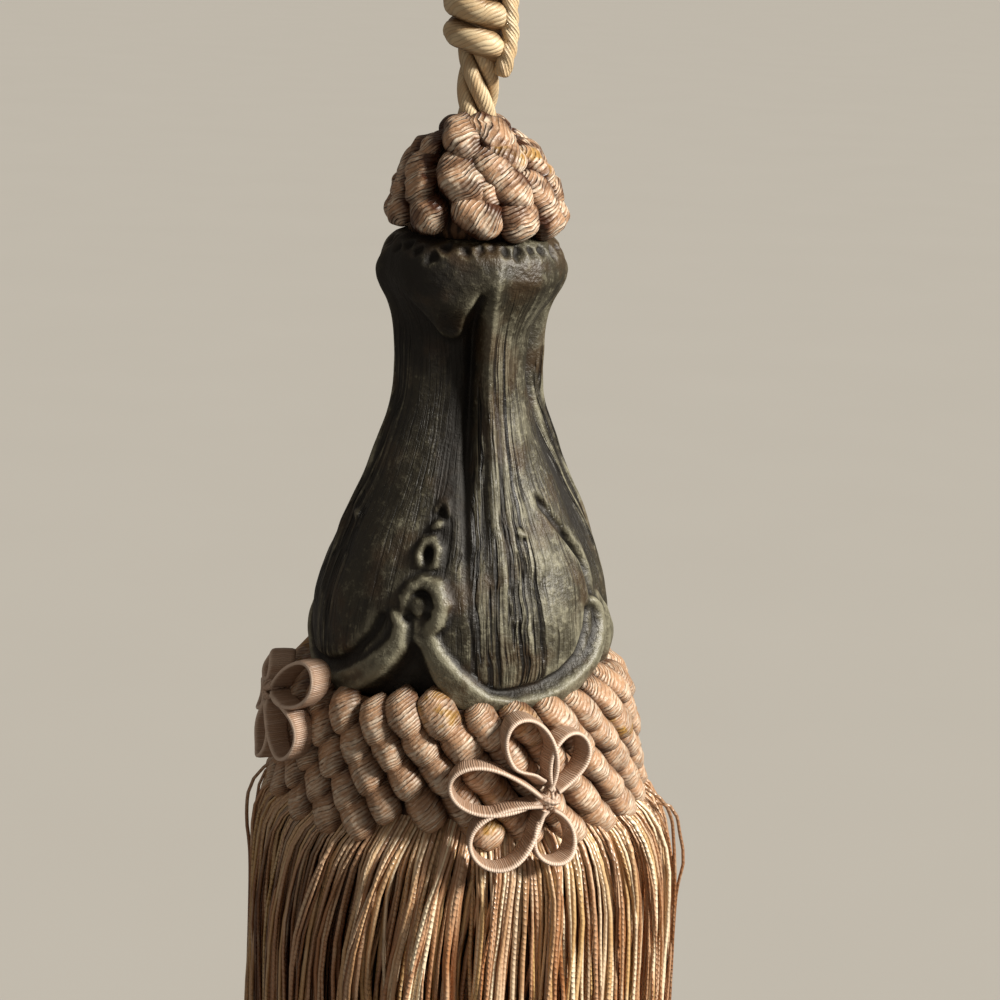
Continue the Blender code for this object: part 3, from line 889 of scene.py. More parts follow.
@dataclass
class Cords:
    """The hanging loop, the wound knot and the neck cord."""

    diameter: float = 5.2 * MM
    loop_width: float = 27.0 * MM
    leg_spread: float = 6.4 * MM
    lay: float = 17.0 * MM
    knot_diameter: float = 15.6 * MM
    coil_radius: float = 2.9 * MM
    coil: tuple[tuple[float, float], ...] = (
        (-1140, -62.9), (-810, -65), (-450, -71.6), (-90, -77.2), (100, -81.4),
    )  # fmt: skip  # turn in degrees, height in mm
    tail: tuple[tuple[float, float, float], ...] = (
        (60, 6.2, -66), (62, 6.8, -69), (60, 7, -73), (62, 7.2, -77.5),
        (58, 7, -81), (56, 6.4, -84), (60, 5.7, -86.2),
    )  # fmt: skip  # turn in degrees, radius and height in mm
    tail_radius: float = 1.95 * MM
    neck_diameter: float = 8.9 * MM
    neck_lay: float = 34.0 * MM
    gap: float = 0.3 * MM

    def loop_points(self) -> list[Vector]:
        """The loop's centreline, with the same guides as the part's source."""
        crown, rise, foot = self.loop_width / 2, self.diameter / 2, KNOT_TOP + self.gap
        leg = (
            (self.leg_spread / 2, foot),
            (self.leg_spread / 2 + 0.4 * MM, foot + 5 * MM),
            (crown * 0.62, foot + 20 * MM),
            (crown, -crown * 1.15),
            (crown * 0.78, rise - crown * 0.38),
        )
        guides = [Vector((-x, 0, z)) for x, z in leg] + [Vector((0, 0, rise))]
        return smooth_line(guides + [Vector((x, 0, z)) for x, z in reversed(leg)], 52)

    def build_loop(self, material: Material) -> bpy.types.Object:
        """The three-ply hanging loop.

        Args:
            material: Of the cord.

        Returns:
            The object.
        """
        points = self.loop_points()
        line = Route(points, Vector((0, 1, 0)))
        piece = Piece("hanging_loop_cord")
        radius = self.diameter * 0.262
        for number in range(3):
            ply = line.ply(-number / 3, radius, -self.lay, 170)
            piece.wrap(10, 170, tube(ply, radius), 0.75, ply.length / MM)
        made = piece.finish(material, "cream_cord", "hanging_loop")
        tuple(points[0])
        line.length
        return made

    def coil_points(self, reach: float) -> list[Vector]:
        """The centreline of the knot's winding.

        Args:
            reach: Its distance from the axis.

        Returns:
            The points from the top down.
        """
        rng = random.Random(4)
        wobble = [rng.uniform(-0.35, 0.35) * MM for _ in range(32)]
        turns, levels = zip(*self.coil)
        points = []
        for share in (i / 300 for i in range(301)):
            degrees = turns[0] + (turns[-1] - turns[0]) * share
            shake = float(np.interp(share * 30, range(len(wobble)), wobble))
            level = float(np.interp(degrees, turns, levels)) * MM + shake
            out = reach - 1.8 * MM * float(ease((share - 0.93) / 0.07)) + shake * 0.6
            points.append(ring_point(math.radians(degrees), out, level))
        return points

    def build_knot(self, material: Material) -> bpy.types.Object:
        """The knot: one cord wound round the others, its tail tucked in at the foot.

        Args:
            material: Of the cord.

        Returns:
            The object.
        """
        piece = Piece("knot_turns")
        reach = self.knot_diameter / 2 - self.coil_radius
        line = Route(self.coil_points(reach), Vector((0, 0, 1)))
        coil = tube(line, self.coil_radius, 0.012, 0.11, 3 * line.length / (15 * MM))
        # the crest tone gives the coil painted shade towards the axis, between its turns
        piece.wrap(20, 300, coil, crest(coil, 6.2 * MM, 1.5 * MM), line.length / MM)
        guides = [ring_point(math.radians(turn), out, level) * MM for turn, out, level in self.tail]
        over = Route(smooth_line(guides, 60), Vector((1, 0, 0)))
        tail = tube(over, self.tail_radius, 0.06, 0.30, over.length / (3.3 * MM))
        piece.wrap(16, 90, tail, 0.9, over.length / MM)
        core = Route.upright(KNOT_TOP - 0.6 * MM, KNOT_BOTTOM + 5.0 * MM, 8)
        # the core's low tone gives it painted shade
        piece.wrap(24, 7, tube(core, reach), 0.3, 20.0)
        return piece.finish(material, "cream_cord", "knot")

    def build_neck(self, material: Material) -> bpy.types.Object:
        """The short four-strand cord between the knot and the rosette.

        Args:
            material: Of the strands.

        Returns:
            The object.
        """
        line = Route.upright(KNOT_BOTTOM + 5.5 * MM, ROSETTE_TOP - 1.6 * MM, 24)
        piece = Piece("neck_cord_strands")
        radius = self.neck_diameter * 0.203
        reach = self.neck_diameter / 2 - radius
        for number in range(4):
            strand = line.ply(number / 4 + 0.06, reach, -self.neck_lay, 44)
            shape = tube(strand, radius)
            # the crest tone gives each strand painted shade on its inner side
            piece.wrap(16, 44, shape, crest(shape, 2.6 * MM, 1.4 * MM), strand.length / MM)
        return piece.finish(material, "cream_cord", "neck_cord")


@dataclass(frozen=True)
class Lump:
    """One wrapped lump of cord: where it sits, how it leans and how big it is."""

    turn: float
    drop: float
    lean: float  # from straight down, towards a growing turn
    length: float
    width: float
    thick: float
    tone: float

    def shape(
        self, bed: Callable[[float], float], square: float, uneven: float, tilt: float = 0.0
    ) -> Placer:
        """The lump's surface on its bed.

        Args:
            bed: The radius of the bed at a drop.
            square: Below 1 makes the lump fuller than an egg.
            uneven: How far the winding strays from an even lump.
            tilt: How far its lower end stands out, and its upper end is tucked in.

        Returns:
            A function of the shares around and along.
        """
        cos_lean, sin_lean = math.cos(self.lean), math.sin(self.lean)

        def at(u: float, v: float) -> Vector:
            """A point of the lump."""
            ring, pole = math.sin(math.pi * v) ** square, math.cos(math.pi * v)
            forward = -fuller(pole, square + 0.25) * self.length / 2
            aside = math.cos(FULL_TURN * u) * ring * self.width / 2
            out = math.sin(FULL_TURN * u) * ring * self.thick / 2 - pole * tilt
            drop = self.drop + forward * cos_lean - aside * sin_lean
            across = forward * sin_lean + aside * cos_lean
            radius = bed(drop)
            point = place(self.turn + across / max(radius, 4 * MM), radius + out, drop)
            return point + noise.noise_vector(point * 330) * (uneven * ring)

        return at


@dataclass
class Rosette:
    """The corded cap on the head: three tiers of fat wrapped lumps over a dark core."""

    outline: Profile = Profile(
        (-24.6, 6.4), (-23, 9.6), (-19.4, 12.6), (-15.5, 15), (-11.4, 17.2), (-6.4, 18.8),
        (-2.2, 19.6), (-0.6, 19),
    )  # fmt: skip
    half: tuple[tuple[float, ...], ...] = (
        (-60.6, -18.7, 48, 6.0, 5.6, 0.3), (-17.3, -20.5, 40, 10.8, 7.6, 0.5),
        (-60.0, -14.7, 22, 7.0, 6.6, 0.7), (-76.0, -10.3, 25, 7.2, 6.4, 0.1),
        (-48.0, -10.7, 28, 8.6, 7.6, 0.4), (-67.0, -5.3, 30, 7.4, 7.0, 0.6),
        (-35.0, -5.1, 46, 9.0, 8.0, 0.2), (-11.0, -12.7, 40, 12.6, 9.6, 0.8),
        (2.6, -5.5, 58, 11.4, 8.8, 0.55), (8.9, -10.5, 30, 7.4, 6.0, 0.35),
        (24.5, -21.5, 52, 8.6, 8.0, 0.15), (32.0, -17.9, 56, 9.6, 7.8, 0.92),
        (16.5, -15.1, 36, 9.6, 8.8, 0.25), (30.0, -10.7, 36, 10.6, 9.4, 0.45),
        (33.0, -4.9, 24, 9.8, 9.8, 0.7), (73.0, -14.9, 36, 9.6, 8.4, 0.95),
        (58.0, -9.7, 34, 9.8, 9.0, 0.5), (66.0, -4.5, 28, 9.4, 9.2, 0.3),
        (92.0, -9.5, 34, 9.0, 8.6, 0.65), (93.0, -4.1, 30, 8.8, 8.2, 0.4),
        (98.0, -16.3, 40, 8.0, 7.4, 0.2),
    )  # fmt: skip  # turn and drop, lean, length and width, tone; degrees and mm

    sunk: float = 3.0 * MM  # of the lumps' middles, below the outline
    core_sunk: float = 5.2 * MM
    square: float = 0.74
    uneven: float = 0.8 * MM

    def lumps(self) -> list[Lump]:
        """The lumps of the front, and the same again behind."""
        made = []
        for turn, drop, lean, length, width, tone in self.half:
            thick = min(width, 8.4) * 0.95
            sizes = [size * MM for size in (length, width, thick)]
            for back in (0, 180 if turn < 85 else 156):
                shade = (tone + back / 900) % 1
                angles = math.radians(turn + back), drop * MM, math.radians(lean)
                made.append(Lump(*angles, *sizes, shade))
        return made

    def build(self, material: Material, core: Material) -> None:
        """Builds the lumps and the core that closes the gaps between them.

        Args:
            material: Of the lumps.
            core: Of the core.
        """
        piece = Piece("rosette_cords")
        bed, under = self.outline.inset(self.sunk), self.outline.inset(self.core_sunk)
        for lump in self.lumps():
            shape = lump.shape(bed, self.square, self.uneven)
            piece.wrap(24, 28, shape, lump.tone, lump.length / MM, ball=True)
        piece.finish(material, "rose_cord", "rosette")
        inner = Piece("rosette_core")

        def dome(u: float, v: float) -> Vector:
            """A point of the core, from the neck cord down to the head."""
            drop = (-23.5 + 23.4 * v) * MM
            return place(FULL_TURN * u, under(drop), drop)

        inner.wrap(48, 12, dome)
        inner.finish(core, "rose_cord", "rosette")


class Section(enum.Enum):
    """How a carved line stands out of the head."""

    ROUND = "round"
    BAND = "band"
    RIDGE = "ridge"
    CUT = "cut"


@dataclass(frozen=True)
class Stroke:
    """A carved line, repeated a number of times round the head."""

    section: Section
    points: tuple[tuple[float, float, float, float], ...]  # turn; drop, half width and height
    times: int = 4

    def relief(self, turn: Grid, drop: Grid, radius: Grid) -> Grid:
        """How far the line stands out.

        Args:
            turn: Turns in degrees.
            drop: Drops in millimetres.
            radius: Radii in millimetres.

        Returns:
            Heights in millimetres, below 0 for a cut.
        """
        turns = [point[0] for point in self.points]
        centre = (min(turns) + max(turns)) / 2
        turn = near(turn, centre, 360 / self.times) + centre
        arc = np.radians(1.0) * radius
        best, height = np.full(turn.shape, 9.0), np.zeros(turn.shape)
        for a, b in zip(self.points, self.points[1:]):
            run, fall = (b[0] - a[0]) * arc, b[1] - a[1]
            x, y = (turn - a[0]) * arc, drop - a[1]
            share = np.clip((x * run + y * fall) / (run * run + fall * fall), 0, 1)
            away = np.hypot(x - share * run, y - share * fall) / (a[2] + (b[2] - a[2]) * share)
            closer = away < best
            best = np.where(closer, away, best)
            height = np.where(closer, a[3] + (b[3] - a[3]) * share, height)
        inside = np.clip(1 - best, 0, 1)
        if self.section is Section.ROUND:
            return height * np.sqrt(np.clip(1 - best * best, 0, 1))
        if self.section is Section.BAND:
            return height * ease(inside / 0.42)
        if self.section is Section.RIDGE:
            return height * inside**1.3
        return -height * ease(inside)


@dataclass
class Head:
    """The moulded head: a vase-shaped turning with punched collar, hanging tongues, folds,
    four leaf lobes with rims, and a scroll with two curls above it where lobes meet."""

    outline: Profile = Profile(
        (0, 15), (0.8, 17.2), (3.2, 19.2), (7.7, 20), (11.2, 19), (14.7, 17.4), (18.7, 16.4),
        (23.7, 15.9), (28.7, 15.8), (33.7, 16.3), (39.2, 17.7), (45.7, 19.9), (52.7, 22.7),
        (60.7, 26), (68.7, 29), (75.7, 31.2), (81.7, 32.3), (87.1, 32.6), (91.7, 31.9),
        (96.7, 30.4), (101.7, 27.6), (105.7, 24), (108.2, 19),
    )  # fmt: skip
    tall: float = 108.2  # mm
    around: int = 330
    rows: int = 290
    tongue: float = -15.0  # the turn of one of the collar's two tongues
    lip: Profile = Profile(
        (-90, 9.6), (-46, 9.7), (-36, 11), (-27, 14.6), (-15, 18.8), (-9, 21), (-4, 21.6),
        (3, 21.6), (8, 20), (12.5, 15.5), (20, 11.4), (26, 9.8), (90, 9.6),
    )  # fmt: skip  # the collar's lower edge, by degrees from a tongue's middle
    rim: tuple[tuple[float, float], ...] = (
        (-18.5, 79.5), (-16, 80), (-13, 83), (-9.6, 88), (-4.8, 92), (0, 95), (7.5, 97),
        (15.4, 98), (25, 98.2), (32, 97.8), (41, 96.2), (50, 94.2), (57, 91.6), (62, 89.2),
        (67, 86), (70.5, 82.5), (71.5, 79.5),
    )  # fmt: skip  # the leaf rims' middle, by degrees and mm
    strokes: tuple[Stroke, ...] = (
        Stroke(Section.BAND, (
            (-16, 78, 2.2, 0.9), (-13.4, 81.8, 3.6, 1.4), (-9.4, 86.4, 4.2, 1.6),
            (-4, 90.2, 4.4, 1.7), (2.5, 93.2, 4.3, 1.7), (9, 95.4, 3.9, 1.7),
            (20, 96.8, 3.3, 1.8), (32, 96.4, 3.3, 2), (41, 94.8, 3.3, 2.2), (50, 92.2, 3.2, 2.3),
            (57, 89.4, 3, 2.3), (62.5, 86.2, 2.8, 2.3), (66.5, 82.6, 2.4, 2.2),
            (67, 79, 1.9, 2), (64, 77, 1.3, 1.4),
        )),
        Stroke(Section.ROUND, (
            (-22.6, 76.2, 0.9, 1), (-23.2, 73.4, 1.2, 1.8), (-20.8, 70.8, 1.5, 2.4),
            (-16.2, 69.6, 1.7, 2.7), (-10.8, 70.4, 2.1, 2.8), (-8, 73.4, 2.2, 2.8),
            (-9.6, 77, 2.1, 2.4), (-13.2, 79.6, 1.8, 1.5),
        ), 2),
        Stroke(Section.ROUND, (
            (-19.6, 66.4, 1, 1.2), (-20.6, 64.2, 1.1, 1.7), (-18.6, 62.2, 1.2, 2),
            (-15, 61.8, 1.3, 2), (-12, 63.6, 1.4, 2.2), (-12.6, 66.2, 1.3, 1.7),
            (-15, 67.2, 1.1, 1.1),
        ), 2),
        Stroke(Section.ROUND, ((-15.4, 59.4, 1.1, 1.3), (-13.2, 58.9, 1.2, 1.4)), 2),
        Stroke(Section.ROUND, (
            (-15.8, 56.4, 0.8, 0.5), (-13.6, 54.6, 1, 0.7), (-10.2, 54.8, 1, 0.8),
            (-8.8, 57, 0.9, 0.6),
        ), 2),
        Stroke(Section.RIDGE, (
            (19, 4.4, 1.8, 0.3), (16, 7, 2.8, 1), (13.8, 10.4, 3.2, 1.5), (13.6, 16, 3, 1.3),
            (14.6, 20.4, 2.6, 0.9), (14.4, 26, 2.2, 0.7), (16, 33, 2, 0.7), (19, 39.3, 1.8, 0.6),
            (17.6, 47.2, 1.8, 0.7), (15.2, 57.2, 1.7, 0.7), (17.4, 67.3, 1.6, 0.6),
            (20.5, 78, 1.2, 0.4),
        )),
        Stroke(Section.RIDGE, (
            (24, 46, 0.8, 0.2), (22.6, 58, 0.9, 0.6), (23.8, 70, 0.9, 0.6), (26, 84, 0.7, 0.3),
        )),
        Stroke(Section.ROUND, ((26.6, 59.4, 1, 0.7), (28.2, 60, 1, 0.7))),
    )  # fmt: skip
    cuts: tuple[Stroke, ...] = (
        Stroke(Section.CUT, (
            (6.5, 11.6, 1.6, 1.4), (4.6, 16, 3.4, 2.8), (3, 23, 3.2, 2.4), (2, 34, 2.6, 1.5),
            (0.5, 45, 2.2, 1.3), (0, 57, 2, 1.2), (2, 67, 1.8, 1), (5, 78, 1.3, 0.7),
            (7, 88, 1, 0.4),
        )),
        Stroke(Section.CUT, (
            (9.6, 30, 0.6, 0.6), (12, 36, 0.7, 0.9), (13.8, 43, 0.7, 0.9), (11.5, 52, 0.7, 0.9),
            (11, 62, 0.7, 0.9), (13.4, 74, 0.6, 0.6),
        )),
        Stroke(Section.CUT, (
            (17.6, 30, 0.6, 0.6), (20.4, 34, 0.7, 1), (23, 39, 0.7, 0.9), (21.5, 47, 0.7, 0.9),
            (19.5, 57, 0.7, 0.9), (21.4, 68, 0.7, 0.8), (24, 82, 0.6, 0.5),
        )),
        Stroke(Section.CUT, (
            (26, 50, 0.5, 0.3), (26, 64, 0.6, 0.6), (29, 80, 0.6, 0.6), (32, 88, 0.5, 0.4),
        )),
        Stroke(Section.CUT, (
            (-9.8, 79.4, 1.2, 0.5), (-5, 84.4, 1.4, 0.7), (1.2, 88, 1.4, 0.8),
            (7.4, 90.8, 1.3, 0.9), (13.6, 92.6, 1.2, 1), (20, 92.6, 1.3, 1.2),
            (30, 91.8, 1.4, 1.3), (40, 90, 1.5, 1.4), (48.5, 86.8, 1.6, 1.5),
            (55, 82.4, 1.6, 1.6), (58, 78.4, 1.5, 1.5),
        )),
        Stroke(Section.CUT, ((-17.2, 74.2, 3.2, 2.2), (-16.6, 74.2, 3.2, 2.2)), 2),
        Stroke(Section.CUT, ((-16.4, 64.6, 1.6, 1.6), (-16, 64.6, 1.6, 1.6)), 2),
        Stroke(Section.CUT, ((-12.4, 57, 1.8, 1.3), (-11.8, 57, 1.8, 1.3)), 2),
    )  # fmt: skip
    gouge: Stroke = Stroke(Section.BAND, (
        (42.5, 53.6, 0.8, 0.6), (44.6, 55.2, 1.3, 1.3), (47.4, 56.8, 1.4, 1.6),
        (51.6, 59.8, 1.5, 1.8), (55.8, 62, 1.6, 1.9), (60, 64.3, 1.7, 2), (62.8, 66.9, 1.6, 2),
        (64.4, 69.2, 1.9, 2), (65.6, 72.2, 1.8, 1.9), (64.6, 75.2, 1.5, 1.5),
    ), 1)  # fmt: skip
    ball: tuple[float, float, float] = (-17.0, 74.3, 2.3)  # turn; drop and radius
    punched: tuple[tuple[float, float], ...] = (
        (-58, 2.6), (-48, 1.6), (-38, 2.4), (-26.5, 3.3), (-17.5, 1.4), (-4, 1.8), (5, 1.5),
        (14, 1.2), (22, 2.0), (31, 2.2), (42, 2.0), (52, 2.2), (64, 2.9),
    )  # fmt: skip  # the holes that show, by degrees and mm
    widest: float = -26.5  # the turn of the largest hole

    def lip_line(self, turn: Grid) -> Grid:
        """The drop at which the collar and its two tongues end."""
        return self.lip.radius(near(turn, self.tongue, 180) * MM) / MM

    def rim_line(self, turn: Grid) -> Grid:
        """The drop of the leaf rims' middle."""
        first, last = self.rim[0][0], self.rim[-1][0]
        middle = (first + last) / 2
        return np.interp(near(turn, middle, last - first) + middle, *zip(*self.rim))

    def below_rim(self, turn: Grid, drop: Grid) -> Grid:
        """1 in the hollow below the leaf rims."""
        return ease((drop - self.rim_line(turn) - 1.6) / 2.2)

    def base_relief(self, turn: Grid, drop: Grid) -> Grid:
        """Folds of the neck, swell of the lobes, the collar's lip and the hollow below the rims.

        Args:
            turn: Turns in degrees.
            drop: Drops in millimetres.

        Returns:
            Heights in millimetres.
        """
        share, steep = ((16 - turn) / 90) % 1.0, 0.17
        gentle = (np.maximum(share - steep, 0) / (1 - steep)) ** 1.2
        fold = np.where(share < steep, 1 - ease(share / steep), gentle)
        relief = 4.0 * (fold - 0.92) * between(drop, 12, 9, 42, 34)
        swell = np.maximum(np.cos(np.radians(2 * near(turn, 30, 90))), 0) ** 0.7
        relief += 2.4 * (swell - 0.62) * between(drop, 50, 18, 94, 12)
        tongue = 1.9 * bell(near(turn, self.tongue, 180) / 36) * ease((drop - 7) / 7)
        over = ease((self.lip_line(turn) - drop) / 1.5)
        relief += over * (0.15 * ease((drop - 5.5) / 3) + tongue)
        return relief - 1.5 * self.below_rim(turn, drop)

    def pits(self, turn: Grid, drop: Grid, radius: Grid) -> Grid:
        """Irregular holes punched along the collar's upper edge.

        Args:
            turn: Turns in degrees.
            drop: Drops in millimetres.
            radius: Radii in millimetres.

        Returns:
            Heights in millimetres, none above 0.
        """
        rng = random.Random(5)
        deep = np.zeros(turn.shape)
        places = list(self.punched)
        for i in range(22):
            places.append((74 + 10.2 * i + rng.uniform(-2.5, 2.5), rng.uniform(1.4, 3.0)))
        for centre, low in places:
            wide = rng.uniform(1.15, 1.6) + (0.35 if centre == self.widest else 0)
            tall = wide * rng.uniform(0.75, 1.15)
            x = near(turn, centre, 360) * np.radians(1.0) * radius / wide
            y = (drop - low) / tall
            away = np.hypot(x + 0.2 * np.sin(3 * y + centre), y + 0.15 * np.sin(4 * x))
            deep = np.maximum(deep, rng.uniform(1.1, 1.7) * ease((1.1 - away) / 0.75))
        return -deep

    @staticmethod
    def wander(turn: Grid, drop: Grid, waves: int, fine: float, seed: int) -> Grid:
        """A smooth random field that closes round the head.

        Args:
            turn: Turns in degrees.
            drop: Drops in millimetres.
            waves: How many waves it is made of.
            fine: How short the waves are.
            seed: Picks one field.

        Returns:
            Values from about -1 to 1.
        """
        rng = np.random.default_rng(seed)
        total = np.zeros(turn.shape)
        for _ in range(waves):
            across = int(rng.integers(1, max(2, int(fine * 6)) + 1)) * rng.choice([-1, 1])
            along = rng.uniform(0.2, 1.0) * fine / 6
            total += np.sin(np.radians(turn) * across + drop * along + rng.uniform(0, 6.28))
        return total / math.sqrt(waves)

    def relief(self, turn: Grid, drop: Grid, radius: Grid) -> tuple[Grid, ...]:
        """The whole carving.

        Args:
            turn: Turns in degrees.
            drop: Drops in millimetres.
            radius: Radii in millimetres.

        Returns:
            Heights in millimetres, then 1 where the grain shows, then 1 on what is carved.
        """
        slid = turn + 0.5 * self.wander(turn, drop, 10, 1.2, 3)
        sunk = drop + 0.35 * self.wander(turn, drop, 10, 1.4, 8)
        carved, cut = np.zeros(turn.shape), np.zeros(turn.shape)
        for stroke in self.strokes:
            carved = np.maximum(carved, stroke.relief(slid, sunk, radius))
        for stroke in self.cuts:
            cut = np.minimum(cut, stroke.relief(slid, sunk, radius))
        ragged = np.clip(1 + 0.5 * self.wander(turn, drop, 14, 6.0, 21), 0.7, 1.6)
        shift = 0.9 * self.wander(turn, drop, 10, 5.0, 22)
        gouged = self.gouge.relief(turn + shift, drop + 0.4 * shift, radius) * ragged
        cut = np.minimum(cut, -gouged)
        raised = ease(carved / 0.8)
        middle, low, size = self.ball
        away = np.hypot(near(slid, middle, 180) * np.radians(1.0) * radius, sunk - low) / size
        ball = size * np.sqrt(np.clip(1 - away * away, 0, 1))
        total = self.base_relief(turn + (slid - turn) * 0.6, sunk)
        total = total + carved + cut * (1 - 0.85 * raised)
        total += ease(ball) * (ball - total * 0.6)
        total += self.pits(turn, drop, radius)
        total += 0.20 * self.wander(turn, drop, 16, 2.6, 30)
        total += 0.06 * self.wander(turn, drop, 18, 6.0, 31)
        collar = ease((self.lip_line(turn) - drop + 0.6) / 1.2)
        smooth = np.clip(collar + raised + (ball > 0.3) + ease(-cut / 0.7), 0, 1)
        furrowed = ease((16.5 - np.abs(near(slid, 18, 90))) / 5)
        strong = 0.16 + 0.84 * furrowed * ease((drop - 16) / 8)
        strong *= 1 - ease((drop - self.rim_line(turn) + 7.0) / 2.5)
        return self.soften(total, 1), (1 - smooth) * strong, raised

    @staticmethod
    def soften(field: Grid, times: int) -> Grid:
        """A field blurred a number of times over its neighbours, round the head.

        Args:
            field: The field.
            times: The number.

        Returns:
            The blurred field.
        """
        for _ in range(times):
            across = (np.roll(field, 1, 1) + field + np.roll(field, -1, 1)) / 3
            tall = np.pad(across, ((1, 1), (0, 0)), mode="edge")
            field = (tall[:-2] + tall[1:-1] + tall[2:]) / 3
        return field

    def patina(self, turn: Grid, drop: Grid, relief: Grid, carved: Grid) -> tuple[Grid, Grid]:
        """Where the finish is rubbed pale, with painted light on the lobes' sunlit sides, and where
        it is dark, from patina in the hollow below the rims and from painted shade.

        Args:
            turn: Turns in degrees.
            drop: Drops in millimetres.
            relief: Heights in millimetres.
            carved: 1 on what is carved.

        Returns:
            How pale each point is from wear and painted light, and how dark from patina and painted
            shade, 0 to 1.
        """
        raised, fine = relief - self.soften(relief, 9), relief - self.soften(relief, 3)
        below = self.below_rim(turn, drop)
        # painted light: paler on the side of each lobe that the sun lights, and much less away from
        # the lit right side
        lit = between((turn - 8) % 90, 2, 8, 44, 16) * ease((drop - 8) / 10) * (1 - below)
        lit = np.where(np.abs(turn - 38) < 64, lit, 0.3 * lit)
        # rims rubbed pale as wear, and paler still at the front rim as a painted highlight
        rims = carved * ease((drop - 70) / 6) * (0.28 + 0.20 * bell((turn + 4) / 20))
        wear_and_painted_light = np.clip(raised * 0.45 + fine * 0.5 + np.maximum(rims, lit * 0.24), 0, 1)
        # dark hollow patina below the rims; painted shade on the shaded left, on the collar's left
        # and in each fold's valley
        hollow = 0.45 * below + 0.22 * bell((turn + 66) / 46)
        hollow += 0.50 * bell((turn + 42) / 52) * (1 - ease((drop - 20) / 12))
        hollow += 0.80 * bell(near(turn, -8, 90) / 17) * between(drop, 14, 12, 50, 26)
        return wear_and_painted_light, np.clip(hollow - raised * 0.50 - fine * 0.8, 0, 1)

    def build(self, material: Material) -> bpy.types.Object:
        """Spins the profile and carves it.

        Args:
            material: Of the head.

        Returns:
            The object.
        """
        drops = np.linspace(0, self.tall, self.rows + 1)
        turn, drop = np.meshgrid(np.arange(self.around) * 360 / self.around, drops)
        radius = self.outline.radius(drop * MM) / MM
        turn = near(turn, 0, 360)
        relief, grainy, carved = self.relief(turn, drop, radius)
        wear_and_painted_light, deep = self.patina(turn, drop, relief, carved)
        reach = radius + relief * ease(drop) * ease((self.tall - drop) / 2)
        piece = Piece("moulded_head")
        bm = piece.bm
        line = [bm.verts.new(place(0, r * MM, d * MM)) for r, d in zip(radius[:, 0], drops)]
        edges = [bm.edges.new(pair) for pair in zip(line, line[1:])]
        whole = {"cent": (0, 0, 0), "axis": (0, 0, 1), "angle": FULL_TURN, "use_merge": True}
        bmesh.ops.spin(bm, geom=line + edges, steps=self.around, **whole)
        fields = {"wear_and_painted_light": wear_and_painted_light, "deep": deep, "grainy": grainy}
        layers = [(bm.verts.layers.float.new(name), values) for name, values in fields.items()]
        for vert in bm.verts:
            angle = math.atan2(vert.co.x, -vert.co.y)
            column = round(angle / FULL_TURN * self.around) % self.around
            row = round((HEAD_TOP - vert.co.z) / MM / self.tall * self.rows)
            row = min(self.rows, max(0, row))
            vert.co = place(angle, float(reach[row, column]) * MM, float(drops[row]) * MM)
            for layer, values in layers:
                vert[layer] = float(values[row, column])
        bmesh.ops.holes_fill(bm, edges=[e for e in bm.edges if e.is_boundary])
        return piece.finish(material, "bronze_resin", "head")


@dataclass
class Ruff:
    """The knotted ruff: leaning columns of wrapped knots round the foot of the head."""

    columns: int = 27
    knots: int = 5
    lean: float = math.radians(31.8)
    front: float = math.radians(-17.4)  # the turn of one column, 110 mm down
    top: float = 98.4  # drop of the first knot, mm
    pitch: float = 5.6
    lowest: float = 121.6
    sunk: float = 2.7 * MM  # of the knots' middles, below the outside
    square: float = 0.56
    uneven: float = 0.6 * MM
    tilt: float = 1.1 * MM
    outside: Profile = Profile(
        (92, 33.6), (95.2, 35.8), (98.5, 37.6), (104, 38.8), (110, 39.8), (116, 40.8),
        (119.5, 41.4), (123, 42.2),
    )  # fmt: skip

    def build(self, material: Material, core: Material) -> None:
        """Builds the knots and the dark band behind them.

        Args:
            material: Of the knots.
            core: Of the band.
        """
        rng = random.Random(23)
        piece = Piece("ruff_knots")
        bed = self.outside.inset(self.sunk)
        for column in range(self.columns):
            slip = rng.uniform(-1.6, 1.4)
            for knot in range(self.knots):
                drop = self.top + slip + self.pitch * knot + rng.uniform(-0.3, 0.3)
                if drop > self.lowest:
                    continue
                turn = self.front + FULL_TURN * column / self.columns
                turn += self.lean * (drop - 110) / 26.3
                lump = Lump(
                    turn=turn + rng.uniform(-0.4, 0.4) / 39,
                    drop=drop * MM,
                    lean=math.radians(rng.uniform(32, 43)),
                    length=rng.uniform(9.2, 10.2) * MM,
                    width=rng.uniform(6.9, 7.7) * MM,
                    thick=rng.uniform(6.8, 7.8) * MM,
                    tone=rng.random(),
                )
                shape = lump.shape(bed, self.square, self.uneven, self.tilt)
                piece.wrap(14, 10, shape, lump.tone, lump.length / MM, ball=True)
        piece.finish(material, "rose_cord", "ruff")
        band = Piece("ruff_band")

        def ring(u: float, v: float) -> Vector:
            """A point of the band's closed section."""
            angle = FULL_TURN * v
            drop = (108.0 - 11.5 * math.cos(angle)) * MM
            return place(FULL_TURN * u, bed(drop) + (math.sin(angle) - 1.6) * MM, drop)

        band.wrap(90, 16, ring)
        band.finish(core, "rose_cord", "ruff")


@dataclass(frozen=True)
class Petal:
    """One loop of a gimp flower: its direction in degrees, and its length and width in mm."""

    direction: float
    length: float
    width: float
    neck: float = 0.42  # how far the loop pinches in towards the hub
    lay: float = 0.0  # how far its left side lies over near the hub, in degrees


